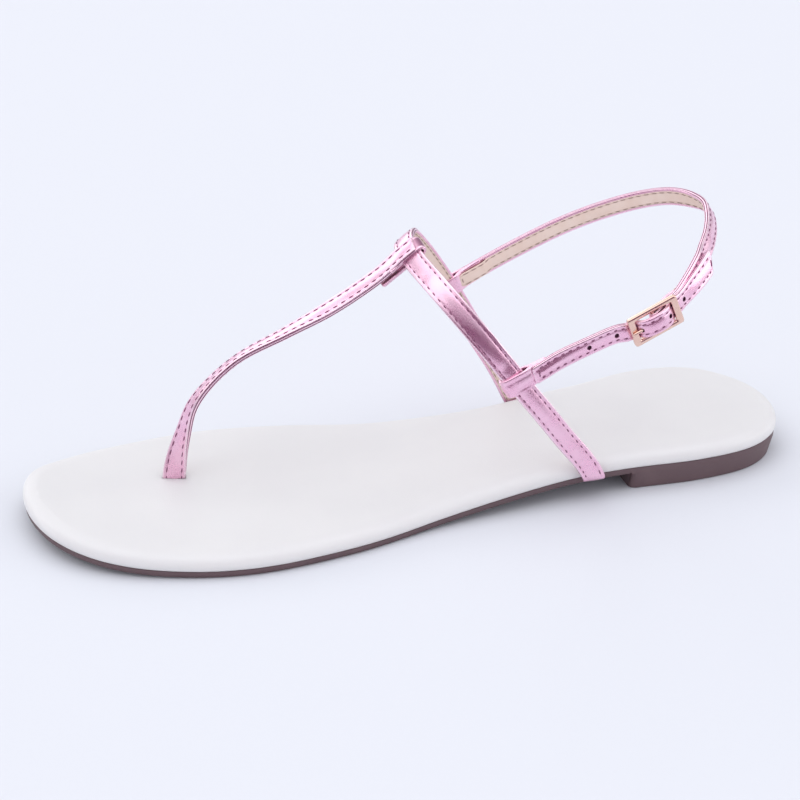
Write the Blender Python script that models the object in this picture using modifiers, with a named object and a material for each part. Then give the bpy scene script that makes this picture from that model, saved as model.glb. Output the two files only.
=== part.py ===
"""Flat thong sandal for the left foot: moulded sole with a low heel, padded footbed, looped straps, buckle.

+X points to the toe, +Y to the outer side of the foot, +Z up. The origin is on the floor, at the middle of
the sandal's box. Sizes and tables are in millimetres, and MM turns them into metres.
"""

import math
from collections import namedtuple

import bmesh
import bpy
import numpy as np
from mathutils import Matrix, Vector

for old in list(bpy.data.objects):
    bpy.data.objects.remove(old, do_unlink=True)

MM = 0.001
GAP = 0.3

SOLE_LENGTH = 245.0
OUTSOLE_THICKNESS = 2.3
HEEL_HEIGHT = 8.2
HEEL_BREAST_FOOT = -63.0
HEEL_BREAST_TOP = -60.5
HEEL_TAPER = 1.0
TOE_SPRING = 4.0
SPRING_START = 0.80
ARCH_BACK = 0.28
ARCH_FRONT = 0.58
OUTSOLE_INSET = 0.4
OUTSOLE_CHAMFER = 0.3
STATION_STEP = 5.0
NOTCH_DEPTH = 14.0

SIDE_STRAP_WIDTH = 7.0
STRAP_WIDTH = 6.0
STRAP_THICKNESS = 1.8
TONGUE_THICKNESS = 1.0
STRAP_SPACING = 3.0

BUCKLE_LENGTH = 17.3
BUCKLE_WIDTH = 10.0
BUCKLE_THICKNESS = 1.6
BUCKLE_END_BAR = 2.2
BUCKLE_SIDE_BAR = 1.5
BUCKLE_EDGE = 0.3
CENTRE_BAR_RADIUS = 0.6
PRONG_RADIUS = 0.5

# Footbed outline: half-breadths at even steps of the turn angle, from the back of the heel to the toe
Breadth = namedtuple("Breadth", "angle lateral medial")
OUTLINE = [
    Breadth(0, 0.8, 0.8),
    Breadth(15, 16.3, -15.0),
    Breadth(30, 26.0, -27.8),
    Breadth(45, 29.0, -31.0),
    Breadth(60, 27.9, -26.0),
    Breadth(75, 29.3, -22.7),
    Breadth(90, 32.6, -29.0),
    Breadth(105, 40.2, -38.3),
    Breadth(120, 42.9, -42.8),
    Breadth(135, 37.6, -40.2),
    Breadth(150, 27.8, -33.4),
    Breadth(165, 12.6, -24.0),
    Breadth(180, -7.0, -7.0),
]

# Footbed edge: how far each ring lies inside the outline, and its height over the underside
Ring = namedtuple("Ring", "inset height")
FOOTBED_EDGE = [
    Ring(0.4, 0.0),
    Ring(0.0, 0.5),
    Ring(0.0, 2.7),
    Ring(0.5, 3.7),
    Ring(1.6, 4.5),
    Ring(3.2, 4.8),
]

# A row of a strap's route: its place, the direction of its width there, and its thickness
Row = namedtuple("Row", "place across thick")


def unit(vector):
    """The direction of a vector."""
    vector = np.array(vector, float)
    return vector / np.linalg.norm(vector)


class Seat:
    """A local frame on the sandal: places are given along the strap, outwards from the foot, and across."""

    def __init__(self, origin, along, out):
        self.origin = np.array(origin, float)
        self.along = unit(along)
        self.out = unit(np.array(out) - np.dot(out, self.along) * self.along)
        self.across = np.cross(self.out, self.along)
        if self.across[2] < 0:
            self.across = -self.across

    def place(self, along, out):
        """World place of a point beside the seat."""
        return tuple(self.origin + along * self.along + out * self.out)

    def matrix(self):
        """World matrix whose X runs along, Y across and Z outwards."""
        turn = Matrix((self.along, self.across, np.cross(self.along, self.across))).transposed().to_4x4()
        return Matrix.Translation(Vector(self.origin) * MM) @ turn


# Where the straps cross: the outer and inner legs of the side strap, the instep and the buckle
OUTER_LEG = Seat((-24.4, 27.9, 44.4), (-0.91, 0.03, 0.41), (0, 1, 0))
INNER_LEG = Seat((-20.5, -27.4, 53.1), (0.90, 0.0, -0.43), (0, -1, 0))
INSTEP = Seat((0.3, -3.0, 77.3), (-0.81, 0.0, 0.59), (0.57, 0.18, 0.80))
BUCKLE = Seat((-68.1, 29.6, 59.7), (-0.93, -0.07, 0.36), (0, 1, 0))

ANKLE_UP = (0.29, 0.0, 0.957)
BILLET_UP = (0.29, 0.28, 0.915)
HEEL_UP = (0.50, -0.10, 0.86)
SOLE_LINE = (-1.0, 0.0, 0.0)
LEG_ACROSS = (-0.81, 0.0, 0.59)
POST_ACROSS = (-0.95, 0.30, 0.0)
INSTEP_ACROSS = (-0.06, 0.975, -0.21)

SIDE_STRAP = [
    Row((-50.0, 21.0, 8.7), SOLE_LINE, TONGUE_THICKNESS),
    Row((-50.0, 29.0, 8.7), SOLE_LINE, TONGUE_THICKNESS),
    Row((-49.8, 30.0, 9.1), SOLE_LINE, TONGUE_THICKNESS),
    Row((-49.4, 30.4, 10.1), SOLE_LINE, TONGUE_THICKNESS),
    Row((-47.3, 30.1, 13.4), LEG_ACROSS, STRAP_THICKNESS),
    Row((-40.3, 29.6, 22.8), LEG_ACROSS, STRAP_THICKNESS),
    Row((-31.5, 29.1, 34.9), LEG_ACROSS, STRAP_THICKNESS),
    Row((-23.2, 27.7, 46.0), LEG_ACROSS, STRAP_THICKNESS),
    Row((-14.2, 24.9, 58.4), LEG_ACROSS, STRAP_THICKNESS),
    Row((-8.5, 19.9, 66.0), LEG_ACROSS, STRAP_THICKNESS),
    Row((-3.5, 12.0, 72.4), LEG_ACROSS, STRAP_THICKNESS),
    Row((-0.3, 1.0, 76.4), LEG_ACROSS, STRAP_THICKNESS),
    Row((0.3, -8.0, 78.4), LEG_ACROSS, STRAP_THICKNESS),
    Row((-2.9, -14.6, 77.2), LEG_ACROSS, STRAP_THICKNESS),
    Row((-8.4, -20.8, 71.4), LEG_ACROSS, STRAP_THICKNESS),
    Row((-14.4, -25.2, 62.8), LEG_ACROSS, STRAP_THICKNESS),
    Row((-21.6, -27.6, 51.2), LEG_ACROSS, STRAP_THICKNESS),
    Row((-30.1, -27.6, 35.4), LEG_ACROSS, STRAP_THICKNESS),
    Row((-36.4, -26.2, 24.0), LEG_ACROSS, STRAP_THICKNESS),
    Row((-41.4, -25.7, 13.4), LEG_ACROSS, STRAP_THICKNESS),
    Row((-43.0, -25.8, 9.8), SOLE_LINE, TONGUE_THICKNESS),
    Row((-43.3, -25.4, 8.8), SOLE_LINE, TONGUE_THICKNESS),
    Row((-43.4, -24.4, 8.4), SOLE_LINE, TONGUE_THICKNESS),
    Row((-43.4, -16.5, 8.4), SOLE_LINE, TONGUE_THICKNESS),
]

THONG_STRAP = [
    Row((74.6, -13.0, 3.2), POST_ACROSS, STRAP_THICKNESS),
    Row((74.5, -13.0, 7.0), POST_ACROSS, STRAP_THICKNESS),
    Row((73.3, -12.9, 14.2), (-0.80, 0.60, 0.0), STRAP_THICKNESS),
    Row((71.0, -12.7, 22.1), (-0.42, 0.91, 0.0), STRAP_THICKNESS),
    Row((67.9, -12.2, 31.0), (-0.06, 1.0, 0.0), STRAP_THICKNESS),
    Row((62.4, -11.5, 38.3), (0.20, 0.98, 0.0), STRAP_THICKNESS),
    Row((53.1, -10.2, 46.3), (0.25, 0.96, 0.10), STRAP_THICKNESS),
    Row((38.3, -8.3, 53.7), (0.05, 1.0, 0.05), STRAP_THICKNESS),
    Row((24.0, -6.4, 61.3), INSTEP_ACROSS, STRAP_THICKNESS),
    Row((9.4, -4.4, 71.0), INSTEP_ACROSS, STRAP_THICKNESS),
    Row(INSTEP.place(-2.5, 1.7), INSTEP_ACROSS, STRAP_THICKNESS),
    Row(INSTEP.place(1.0, 1.7), INSTEP_ACROSS, STRAP_THICKNESS),
    Row(INSTEP.place(3.5, 1.3), INSTEP_ACROSS, TONGUE_THICKNESS),
    Row(INSTEP.place(4.4, 0.9), INSTEP_ACROSS, TONGUE_THICKNESS),
    Row(INSTEP.place(4.8, 0.0), INSTEP_ACROSS, TONGUE_THICKNESS),
    Row(INSTEP.place(4.4, -0.9), INSTEP_ACROSS, TONGUE_THICKNESS),
    Row(INSTEP.place(3.5, -1.3), INSTEP_ACROSS, TONGUE_THICKNESS),
    Row(INSTEP.place(-3.5, -1.4), INSTEP_ACROSS, TONGUE_THICKNESS),
    Row((9.3, -4.3, 67.4), INSTEP_ACROSS, TONGUE_THICKNESS),
]

FRONT_ANKLE_STRAP = [
    Row(OUTER_LEG.place(14.0, -1.25), ANKLE_UP, TONGUE_THICKNESS),
    Row(OUTER_LEG.place(6.0, -1.3), ANKLE_UP, TONGUE_THICKNESS),
    Row(OUTER_LEG.place(-3.3, -1.3), ANKLE_UP, TONGUE_THICKNESS),
    Row(OUTER_LEG.place(-4.2, -0.9), ANKLE_UP, TONGUE_THICKNESS),
    Row(OUTER_LEG.place(-4.6, 0.0), ANKLE_UP, TONGUE_THICKNESS),
    Row(OUTER_LEG.place(-4.2, 0.9), ANKLE_UP, TONGUE_THICKNESS),
    Row(OUTER_LEG.place(-3.3, 1.3), ANKLE_UP, TONGUE_THICKNESS),
    Row(OUTER_LEG.place(3.0, 1.3), ANKLE_UP, TONGUE_THICKNESS),
    Row(OUTER_LEG.place(7.5, 0.5), ANKLE_UP, STRAP_THICKNESS),
    Row((-37.3, 28.6, 50.3), ANKLE_UP, STRAP_THICKNESS),
    Row((-46.7, 28.6, 53.6), BILLET_UP, STRAP_THICKNESS),
    Row((-55.6, 28.4, 56.2), BILLET_UP, STRAP_THICKNESS),
    Row(BUCKLE.place(-8.6, -2.1), BUCKLE.across, STRAP_THICKNESS),
    Row(BUCKLE.place(-5.9, -2.1), BUCKLE.across, STRAP_THICKNESS),
    Row(BUCKLE.place(-2.8, 1.2), BUCKLE.across, STRAP_THICKNESS),
    Row(BUCKLE.place(0.0, 3.0), BUCKLE.across, STRAP_THICKNESS),
    Row(BUCKLE.place(2.8, 1.2), BUCKLE.across, STRAP_THICKNESS),
    Row(BUCKLE.place(5.9, -2.1), BUCKLE.across, STRAP_THICKNESS),
    Row(BUCKLE.place(8.6, -2.3), BUCKLE.across, STRAP_THICKNESS),
    Row((-79.3, 24.4, 63.8), ANKLE_UP, STRAP_THICKNESS),
    Row((-86.2, 19.3, 68.1), ANKLE_UP, STRAP_THICKNESS),
    Row((-92.8, 13.0, 71.0), ANKLE_UP, STRAP_THICKNESS),
]

REAR_ANKLE_STRAP = [
    Row(BUCKLE.place(10.0, -6.6), BUCKLE.across, TONGUE_THICKNESS),
    Row(BUCKLE.place(7.0, -5.9), BUCKLE.across, TONGUE_THICKNESS),
    Row(BUCKLE.place(3.4, -3.8), BUCKLE.across, TONGUE_THICKNESS),
    Row(BUCKLE.place(0.4, -1.4), BUCKLE.across, TONGUE_THICKNESS),
    Row(BUCKLE.place(-1.0, -1.0), BUCKLE.across, TONGUE_THICKNESS),
    Row(BUCKLE.place(-1.4, 0.0), BUCKLE.across, TONGUE_THICKNESS),
    Row(BUCKLE.place(-1.0, 1.0), BUCKLE.across, TONGUE_THICKNESS),
    Row(BUCKLE.place(0.4, 1.4), BUCKLE.across, TONGUE_THICKNESS),
    Row(BUCKLE.place(4.0, -2.0), BUCKLE.across, TONGUE_THICKNESS),
    Row(BUCKLE.place(7.5, -4.1), BUCKLE.across, STRAP_THICKNESS),
    Row(BUCKLE.place(10.5, -4.6), BUCKLE.across, STRAP_THICKNESS),
    Row((-87.6, 15.8, 69.9), ANKLE_UP, STRAP_THICKNESS),
    Row((-92.3, 10.3, 71.9), HEEL_UP, STRAP_THICKNESS),
    Row((-96.6, 4.0, 73.8), HEEL_UP, STRAP_THICKNESS),
    Row((-100.2, -3.5, 76.0), HEEL_UP, STRAP_THICKNESS),
    Row((-101.4, -9.0, 77.8), HEEL_UP, STRAP_THICKNESS),
    Row((-99.9, -14.8, 78.3), HEEL_UP, STRAP_THICKNESS),
    Row((-94.0, -20.6, 78.3), ANKLE_UP, STRAP_THICKNESS),
    Row((-86.5, -24.8, 76.7), ANKLE_UP, STRAP_THICKNESS),
    Row((-75.0, -28.2, 73.4), ANKLE_UP, STRAP_THICKNESS),
    Row((-60.0, -29.4, 68.9), ANKLE_UP, STRAP_THICKNESS),
    Row((-40.0, -29.2, 61.3), ANKLE_UP, STRAP_THICKNESS),
    Row(INNER_LEG.place(-7.5, 0.5), ANKLE_UP, STRAP_THICKNESS),
    Row(INNER_LEG.place(-3.0, 1.3), ANKLE_UP, TONGUE_THICKNESS),
    Row(INNER_LEG.place(3.3, 1.3), ANKLE_UP, TONGUE_THICKNESS),
    Row(INNER_LEG.place(4.2, 0.9), ANKLE_UP, TONGUE_THICKNESS),
    Row(INNER_LEG.place(4.6, 0.0), ANKLE_UP, TONGUE_THICKNESS),
    Row(INNER_LEG.place(4.2, -0.9), ANKLE_UP, TONGUE_THICKNESS),
    Row(INNER_LEG.place(3.3, -1.3), ANKLE_UP, TONGUE_THICKNESS),
    Row(INNER_LEG.place(-6.0, -1.3), ANKLE_UP, TONGUE_THICKNESS),
    Row(INNER_LEG.place(-14.0, -1.25), ANKLE_UP, TONGUE_THICKNESS),
]

# Prong, in the buckle's plane: round the centre bar, through the strap and over the front bar
PRONG_TAIL = (2.0, -0.6)
PRONG = [(1.1, -1.1), (0.0, -1.6), (-1.1, -1.1), (-1.6, 0.0), (-2.4, 1.1), (-4.5, 1.8), (-8.4, 1.6)]


def principled(name, colour, roughness, metallic=0.0):
    """A plain material of the part's own colour."""
    material = bpy.data.materials.new(name)
    material.use_nodes = True
    shader = material.node_tree.nodes["Principled BSDF"]
    shader.inputs["Base Color"].default_value = (*colour, 1.0)
    shader.inputs["Roughness"].default_value = roughness
    shader.inputs["Metallic"].default_value = metallic
    return material


def collection(name):
    """A new collection under the scene's own."""
    made = bpy.data.collections.new(name)
    bpy.context.scene.collection.children.link(made)
    return made


PARTS = collection("flat_sandal")
CUTTERS = collection("flat_sandal_cutters")
CUTTERS.hide_render = True


def add_object(name, bm, home, material=None):
    """Turn a bmesh, in millimetres, into a named object."""
    bmesh.ops.scale(bm, vec=(MM, MM, MM), verts=bm.verts)
    bmesh.ops.recalc_face_normals(bm, faces=bm.faces)
    if bm.calc_volume(signed=True) < 0:
        bmesh.ops.reverse_faces(bm, faces=bm.faces)
    mesh = bpy.data.meshes.new(name)
    bm.to_mesh(mesh)
    bm.free()
    made = bpy.data.objects.new(name, mesh)
    home.objects.link(made)
    if material:
        mesh.materials.append(material)
    else:
        made.hide_render = True
        made.display_type = "WIRE"
    mesh.shade_smooth()
    mesh.set_sharp_from_angle(angle=math.radians(30))
    return made


def boolean(body, operation, other):
    """Join or cut a body with another object."""
    modifier = body.modifiers.new(other.name, "BOOLEAN")
    modifier.operation = operation
    modifier.object = other
    modifier.solver = "EXACT"


def box(name, size, matrix):
    """A cutter box of the given size in millimetres, placed by a matrix in metres."""
    bm = bmesh.new()
    bmesh.ops.create_cube(bm, size=1.0)
    bmesh.ops.scale(bm, vec=size, verts=bm.verts)
    made = add_object(name, bm, CUTTERS)
    made.matrix_world = matrix
    return made


# Sole: outline, profile and lofts

def breadth(angle):
    """Distance of the footbed's edge from the middle line, for a turn angle in degrees."""
    steps = [row.lateral for row in OUTLINE] + [row.medial for row in OUTLINE[-2:0:-1]]
    turn = angle / (OUTLINE[1].angle - OUTLINE[0].angle)
    first = math.floor(turn)
    part = turn - first
    before, here, after, beyond = (steps[(first + k) % len(steps)] for k in (-1, 0, 1, 2))
    slope = after - before
    curve = 2 * before - 5 * here + 4 * after - beyond
    bend = 3 * (here - after) + beyond - before
    return here + part / 2 * (slope + part * (curve + part * bend))


def outline_point(angle, inset):
    """A point of the outline, moved inwards along the outline's own normal."""
    def edge(turn):
        return np.array((-SOLE_LENGTH / 2 * math.cos(math.radians(turn)), breadth(turn)))
    run = unit(edge(angle + 0.5) - edge(angle - 0.5))
    return edge(angle) + inset * np.array((run[1], -run[0]))


def share(x):
    """How far along the sole a place is, from 0 at the heel to 1 at the toe."""
    return min(1.0, max(0.0, x / SOLE_LENGTH + 0.5))


def outsole_top(x):
    """Height of the outsole's upper face: level at the heel, down the arch, level, then the toe spring."""
    drop = min(1.0, max(0.0, (share(x) - ARCH_BACK) / (ARCH_FRONT - ARCH_BACK)))
    level = HEEL_HEIGHT - (HEEL_HEIGHT - OUTSOLE_THICKNESS) * drop * drop * (3 - 2 * drop)
    spring = max(0.0, (share(x) - SPRING_START) / (1 - SPRING_START))
    return level + TOE_SPRING * spring * spring


def outsole_ground(x):
    """Height of the outsole's lower face: on the floor at heel and ball, raised at the arch and toe."""
    if x < (HEEL_BREAST_FOOT + HEEL_BREAST_TOP) / 2:
        return 0.0
    return outsole_top(x) - OUTSOLE_THICKNESS


def station_angles():
    """Turn angles of the sole's sections, with two close together at the heel's front face."""
    breast = [math.degrees(math.acos(-x / (SOLE_LENGTH / 2))) for x in (HEEL_BREAST_FOOT, HEEL_BREAST_TOP)]
    even = [STATION_STEP * k for k in range(int(180 / STATION_STEP) + 1)]
    kept = [angle for angle in even if min(abs(angle - b) for b in breast) > 1.0]
    return sorted(kept + breast)


STATIONS = station_angles()
TURNS = STATIONS + [360 - angle for angle in STATIONS[-2:0:-1]]


def sole_ring(inset, height):
    """One ring round the sole: inset and height are worked out from the place along the sole."""
    ring = []
    for angle in TURNS:
        x = -SOLE_LENGTH / 2 * math.cos(math.radians(angle))
        edge = outline_point(angle, inset(x))
        ring.append((edge[0], edge[1], height(x)))
    return ring


def loft_sole(name, rings, material):
    """Join rings into a closed solid, with the lowest and highest closed by strips across the sole."""
    bm = bmesh.new()
    loops = [[bm.verts.new(point) for point in ring] for ring in rings]
    count = len(TURNS)
    for low, high in zip(loops, loops[1:]):
        for i in range(count):
            j = (i + 1) % count
            bm.faces.new((low[i], low[j], high[j], high[i]))
    for loop in (loops[0], loops[-1]):
        for i in range(count // 2):
            corners = [loop[i], loop[i + 1], loop[count - i - 1], loop[(count - i) % count]]
            bm.faces.new(list(dict.fromkeys(corners)))
    return add_object(name, bm, PARTS, material)


def make_outsole():
    """Moulded rubber sole: level under the ball, raised under the arch, with the heel block in one piece."""
    def foot_inset(x):
        on_heel = x < (HEEL_BREAST_FOOT + HEEL_BREAST_TOP) / 2
        return OUTSOLE_INSET + OUTSOLE_CHAMFER + (HEEL_TAPER if on_heel else 0.0)

    rubber = principled("brown_rubber", (0.16, 0.11, 0.115), 0.6)
    rings = [
        sole_ring(foot_inset, outsole_ground),
        sole_ring(lambda x: OUTSOLE_INSET, outsole_top),
    ]
    return loft_sole("outsole", rings, rubber)


def make_footbed():
    """Padded footbed with a rounded edge and a slot for the thong."""
    white = principled("white_synthetic", (0.83, 0.83, 0.86), 0.45)
    rings = []
    for row in FOOTBED_EDGE:
        rings.append(sole_ring(
            lambda x, row=row: row.inset,
            lambda x, row=row: outsole_top(x) + GAP + row.height,
        ))
    footbed = loft_sole("footbed", rings, white)
    slot = Seat(THONG_STRAP[1].place, POST_ACROSS, (0, 0, 1))
    boolean(footbed, "DIFFERENCE", box(
        "thong_slot",
        (STRAP_WIDTH + 2 * GAP, STRAP_THICKNESS + 6 * GAP, 20.0),
        slot.matrix(),
    ))
    return footbed


def cut_strap_notches(outsole, footbed):
    """Recesses between outsole and footbed, where the ends of the side strap are tucked in and glued."""
    slant = abs(np.dot(LEG_ACROSS, SOLE_LINE))
    notch = (SIDE_STRAP_WIDTH / slant + 4 * GAP, NOTCH_DEPTH, TONGUE_THICKNESS + 2 * GAP)
    for name, end in (("outer_notch", SIDE_STRAP[0]), ("inner_notch", SIDE_STRAP[-1])):
        outwards = math.copysign(notch[1] / 2 - GAP, end.place[1])
        middle = Vector(end.place) + Vector((0, outwards, 0))
        recess = box(name, notch, Matrix.Translation(middle * MM))
        boolean(outsole, "DIFFERENCE", recess)
        boolean(footbed, "DIFFERENCE", recess)


# Straps

def strap_route(rows):
    """Places, width directions and thicknesses along a smooth curve through the rows of a strap."""
    table = np.array([(*row.place, *row.across, row.thick) for row in rows], float)
    chords = np.linalg.norm(np.diff(table[:, :3], axis=0), axis=1)
    knots = np.concatenate([[0.0], np.cumsum(np.sqrt(chords))])
    slopes = np.gradient(table, knots, axis=0)
    samples = [table[0]]
    for i, chord in enumerate(chords):
        span = knots[i + 1] - knots[i]
        steps = max(2, round(chord / STRAP_SPACING))
        for part in (np.arange(steps) + 1) / steps:
            ease = part * part * (3 - 2 * part)
            samples.append(
                table[i] * (1 - ease) + table[i + 1] * ease
                + span * part * (1 - part) * (slopes[i] * (1 - part) - slopes[i + 1] * part)
            )
    return np.array(samples)


def make_strap(name, rows, width, home, material=None):
    """A strap of constant width along its route, lofted through flat sections of its own thickness."""
    samples = strap_route(rows)
    places = samples[:, :3]
    runs = np.gradient(places, axis=0)
    bm = bmesh.new()
    sections = []
    for place, across, thick, run in zip(places, samples[:, 3:6], samples[:, 6], runs):
        run = unit(run)
        across = unit(across)
        face = np.cross(run, across)
        half_width = across * width / 2 / np.linalg.norm(face)
        half_thick = unit(face) * thick / 2
        sides = ((1, 1), (1, -1), (-1, -1), (-1, 1))
        sections.append([bm.verts.new(place + w * half_width + t * half_thick) for w, t in sides])
    for first, second in zip(sections, sections[1:]):
        for i in range(4):
            j = (i + 1) % 4
            bm.faces.new((first[i], first[j], second[j], second[i]))
    bm.faces.new(sections[0])
    bm.faces.new(sections[-1])
    return add_object(name, bm, home, material)


def buckle_tube(name, route, radius, home, material=None):
    """The prong's wire as a closed mesh: its own size, or fatter where it cuts the straps."""
    curve = bpy.data.curves.new(name, "CURVE")
    curve.dimensions = "3D"
    curve.bevel_depth = radius * MM
    curve.bevel_resolution = 2
    curve.use_fill_caps = True
    spline = curve.splines.new("POLY")
    spline.points.add(len(route) - 1)
    for point, (along, out) in zip(spline.points, route):
        point.co = (along * MM, 0.0, out * MM, 1.0)
    guide = bpy.data.objects.new(name + "_guide", curve)
    home.objects.link(guide)
    bpy.context.view_layer.update()
    mesh = bpy.data.meshes.new_from_object(guide.evaluated_get(bpy.context.evaluated_depsgraph_get()))
    bpy.data.objects.remove(guide, do_unlink=True)
    bm = bmesh.new()
    bm.from_mesh(mesh)
    bmesh.ops.remove_doubles(bm, verts=bm.verts, dist=1e-6)
    bmesh.ops.scale(bm, vec=(1 / MM, 1 / MM, 1 / MM), verts=bm.verts)
    made = add_object(name, bm, home, material)
    made.matrix_world = BUCKLE.matrix()
    return made


def make_upper():
    """The four straps, joined where they loop round each other, with room for the prong."""
    leather = principled("pink_metallic", (0.78, 0.45, 0.68), 0.3, 0.6)
    upper = make_strap("upper", SIDE_STRAP, SIDE_STRAP_WIDTH, PARTS, leather)
    for name, rows in (
        ("thong_strap", THONG_STRAP),
        ("front_ankle_strap", FRONT_ANKLE_STRAP),
        ("rear_ankle_strap", REAR_ANKLE_STRAP),
    ):
        boolean(upper, "UNION", make_strap(name, rows, STRAP_WIDTH, CUTTERS))
    boolean(upper, "DIFFERENCE", buckle_tube("prong_hole", [PRONG_TAIL] + PRONG, PRONG_RADIUS + GAP, CUTTERS))
    return upper


def make_buckle():
    """Pale gold frame with its centre bar, and the prong on that bar."""
    gold = principled("pale_gold", (0.90, 0.70, 0.56), 0.2, 1.0)
    bm = bmesh.new()
    bmesh.ops.create_cube(bm, size=1.0)
    bmesh.ops.scale(bm, vec=(BUCKLE_LENGTH, BUCKLE_WIDTH, BUCKLE_THICKNESS), verts=bm.verts)
    frame = add_object("buckle_frame", bm, PARTS, gold)
    frame.matrix_world = BUCKLE.matrix()
    opening = (BUCKLE_LENGTH - 2 * BUCKLE_END_BAR, BUCKLE_WIDTH - 2 * BUCKLE_SIDE_BAR, 3 * BUCKLE_THICKNESS)
    boolean(frame, "DIFFERENCE", box("buckle_opening", opening, BUCKLE.matrix()))
    edge = frame.modifiers.new("edge", "BEVEL")
    edge.width = BUCKLE_EDGE * MM
    edge.segments = 2
    edge.limit_method = "ANGLE"
    bm = bmesh.new()
    bmesh.ops.create_cone(
        bm, cap_ends=True, segments=12, radius1=CENTRE_BAR_RADIUS, radius2=CENTRE_BAR_RADIUS,
        depth=BUCKLE_WIDTH - BUCKLE_SIDE_BAR, matrix=Matrix.Rotation(math.pi / 2, 4, "X"),
    )
    bar = add_object("centre_bar", bm, CUTTERS)
    bar.matrix_world = BUCKLE.matrix()
    boolean(frame, "UNION", bar)
    buckle_tube("buckle_prong", PRONG, PRONG_RADIUS, PARTS, gold)


cut_strap_notches(make_outsole(), make_footbed())
make_upper()
make_buckle()
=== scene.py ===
import math

import bmesh
import bpy
import numpy as np
from mathutils import Matrix, Vector


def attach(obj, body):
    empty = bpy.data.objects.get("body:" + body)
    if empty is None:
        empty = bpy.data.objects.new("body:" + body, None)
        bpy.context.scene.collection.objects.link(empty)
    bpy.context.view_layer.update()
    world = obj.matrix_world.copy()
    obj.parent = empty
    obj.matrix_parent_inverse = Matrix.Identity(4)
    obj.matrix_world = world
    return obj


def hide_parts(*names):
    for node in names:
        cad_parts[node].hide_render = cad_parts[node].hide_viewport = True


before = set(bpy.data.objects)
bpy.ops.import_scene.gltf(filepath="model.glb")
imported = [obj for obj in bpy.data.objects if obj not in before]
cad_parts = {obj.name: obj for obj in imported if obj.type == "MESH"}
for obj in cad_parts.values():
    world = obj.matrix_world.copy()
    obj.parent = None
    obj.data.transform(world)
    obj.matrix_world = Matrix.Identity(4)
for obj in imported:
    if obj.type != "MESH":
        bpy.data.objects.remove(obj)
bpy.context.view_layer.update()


# Outsole: one moulding of brown rubber, thin under the arch and forefoot, with a low heel block.
# Its wall is smooth and matt with a softened lower edge, and it is glued under the footbed.
# Sizes are in millimetres: +X runs to the toe, +Y to the outer side of the foot, +Z up.
MM = 0.001
SOLE_LENGTH = 245.0
OUTSOLE_THICKNESS = 2.3
HEEL_HEIGHT = 8.2
HEEL_BREAST = (-64.0, -63.4)
BREAST_ROUNDING = 2.0
TOE_SPRING = 4.0
SPRING_START = 0.80
ARCH = (0.28, 0.58)
OUTSOLE_INSET = 0.4
HEEL_TAPER = 1.0
WALL_ROUNDING = 0.8
WALL_STEPS = 5
WALL_DRAFT = 0.3
HEAD_DRAFT = 0.1
HEAD_RISE = 0.1
LIP = (0.05, 0.05, 0.15)
UPPER_EDGE = [(0.02, 0.35), (0.05, 0.08), (0.20, 0.0)]
CORNER_STEPS = 6
SHARP_FROM = math.radians(50)
TURN_STEP = 1.5
SOLE_COLUMNS = 28
OUTLINE_STEP = 15.0
OUTLINE_LATERAL = [0.8, 16.3, 26.0, 29.0, 27.9, 29.3, 32.6, 40.2, 42.9, 37.6, 27.8, 12.6, -7.0]
OUTLINE_MEDIAL = [0.8, -15.0, -27.8, -31.0, -26.0, -22.7, -29.0, -38.3, -42.8, -40.2, -33.4, -24.0, -7.0]
RUBBER_BROWN = (0.118, 0.073, 0.081, 1.0)
RUBBER_WORN = (0.164, 0.108, 0.116, 1.0)


def breadth(turn):
    """Distance of the footbed's edge from the middle line, for turn angles in degrees."""
    steps = np.array(OUTLINE_LATERAL + OUTLINE_MEDIAL[-2:0:-1])
    first = np.floor(turn / OUTLINE_STEP).astype(int)
    part = turn / OUTLINE_STEP - first
    before, here, after, beyond = (steps[(first + k) % len(steps)] for k in (-1, 0, 1, 2))
    curve = 2 * before - 5 * here + 4 * after - beyond
    bend = 3 * (here - after) + beyond - before
    return here + part / 2 * (after - before + part * (curve + part * bend))


def outline(turns, inset):
    """Points of the sole's edge at the turn angles, moved inwards along the edge's own normal."""
    def edge(turn):
        return np.stack([-SOLE_LENGTH / 2 * np.cos(np.radians(turn)), breadth(turn)], axis=1)
    run = edge(turns + 0.5) - edge(turns - 0.5)
    run /= np.linalg.norm(run, axis=1, keepdims=True)
    return edge(turns) + np.reshape(inset, (-1, 1)) * np.stack([run[:, 1], -run[:, 0]], axis=1)


def outsole_top(x):
    """Height of the outsole's upper face: level at the heel, down the arch, level, and up at the toe."""
    share = np.clip(x / SOLE_LENGTH + 0.5, 0.0, 1.0)
    drop = np.clip((share - ARCH[0]) / (ARCH[1] - ARCH[0]), 0.0, 1.0)
    level = HEEL_HEIGHT - (HEEL_HEIGHT - OUTSOLE_THICKNESS) * drop * drop * (3 - 2 * drop)
    spring = np.clip((share - SPRING_START) / (1 - SPRING_START), 0.0, 1.0)
    return level + TOE_SPRING * spring * spring


def sole_turns():
    """Turn angles round the sole, closer together at the heel's front corner, the same on both sides."""
    corner = HEEL_BREAST[0] - BREAST_ROUNDING * (1 - np.cos(np.linspace(0.0, math.pi / 2, CORNER_STEPS)))
    breast = np.degrees(np.arccos(-np.append(corner, HEEL_BREAST[1]) / (SOLE_LENGTH / 2)))
    even = np.arange(0.0, 180.0 + TURN_STEP / 2, TURN_STEP)
    even = even[np.abs(even[:, None] - breast).min(axis=1) > TURN_STEP / 2]
    side = np.sort(np.concatenate([even, breast]))
    return np.concatenate([side, 360.0 - side[-2:0:-1]])


def add_ring(points, ring):
    """Add a ring of points and return their numbers."""
    points.extend(ring)
    return list(range(len(points) - len(ring), len(points)))


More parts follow.
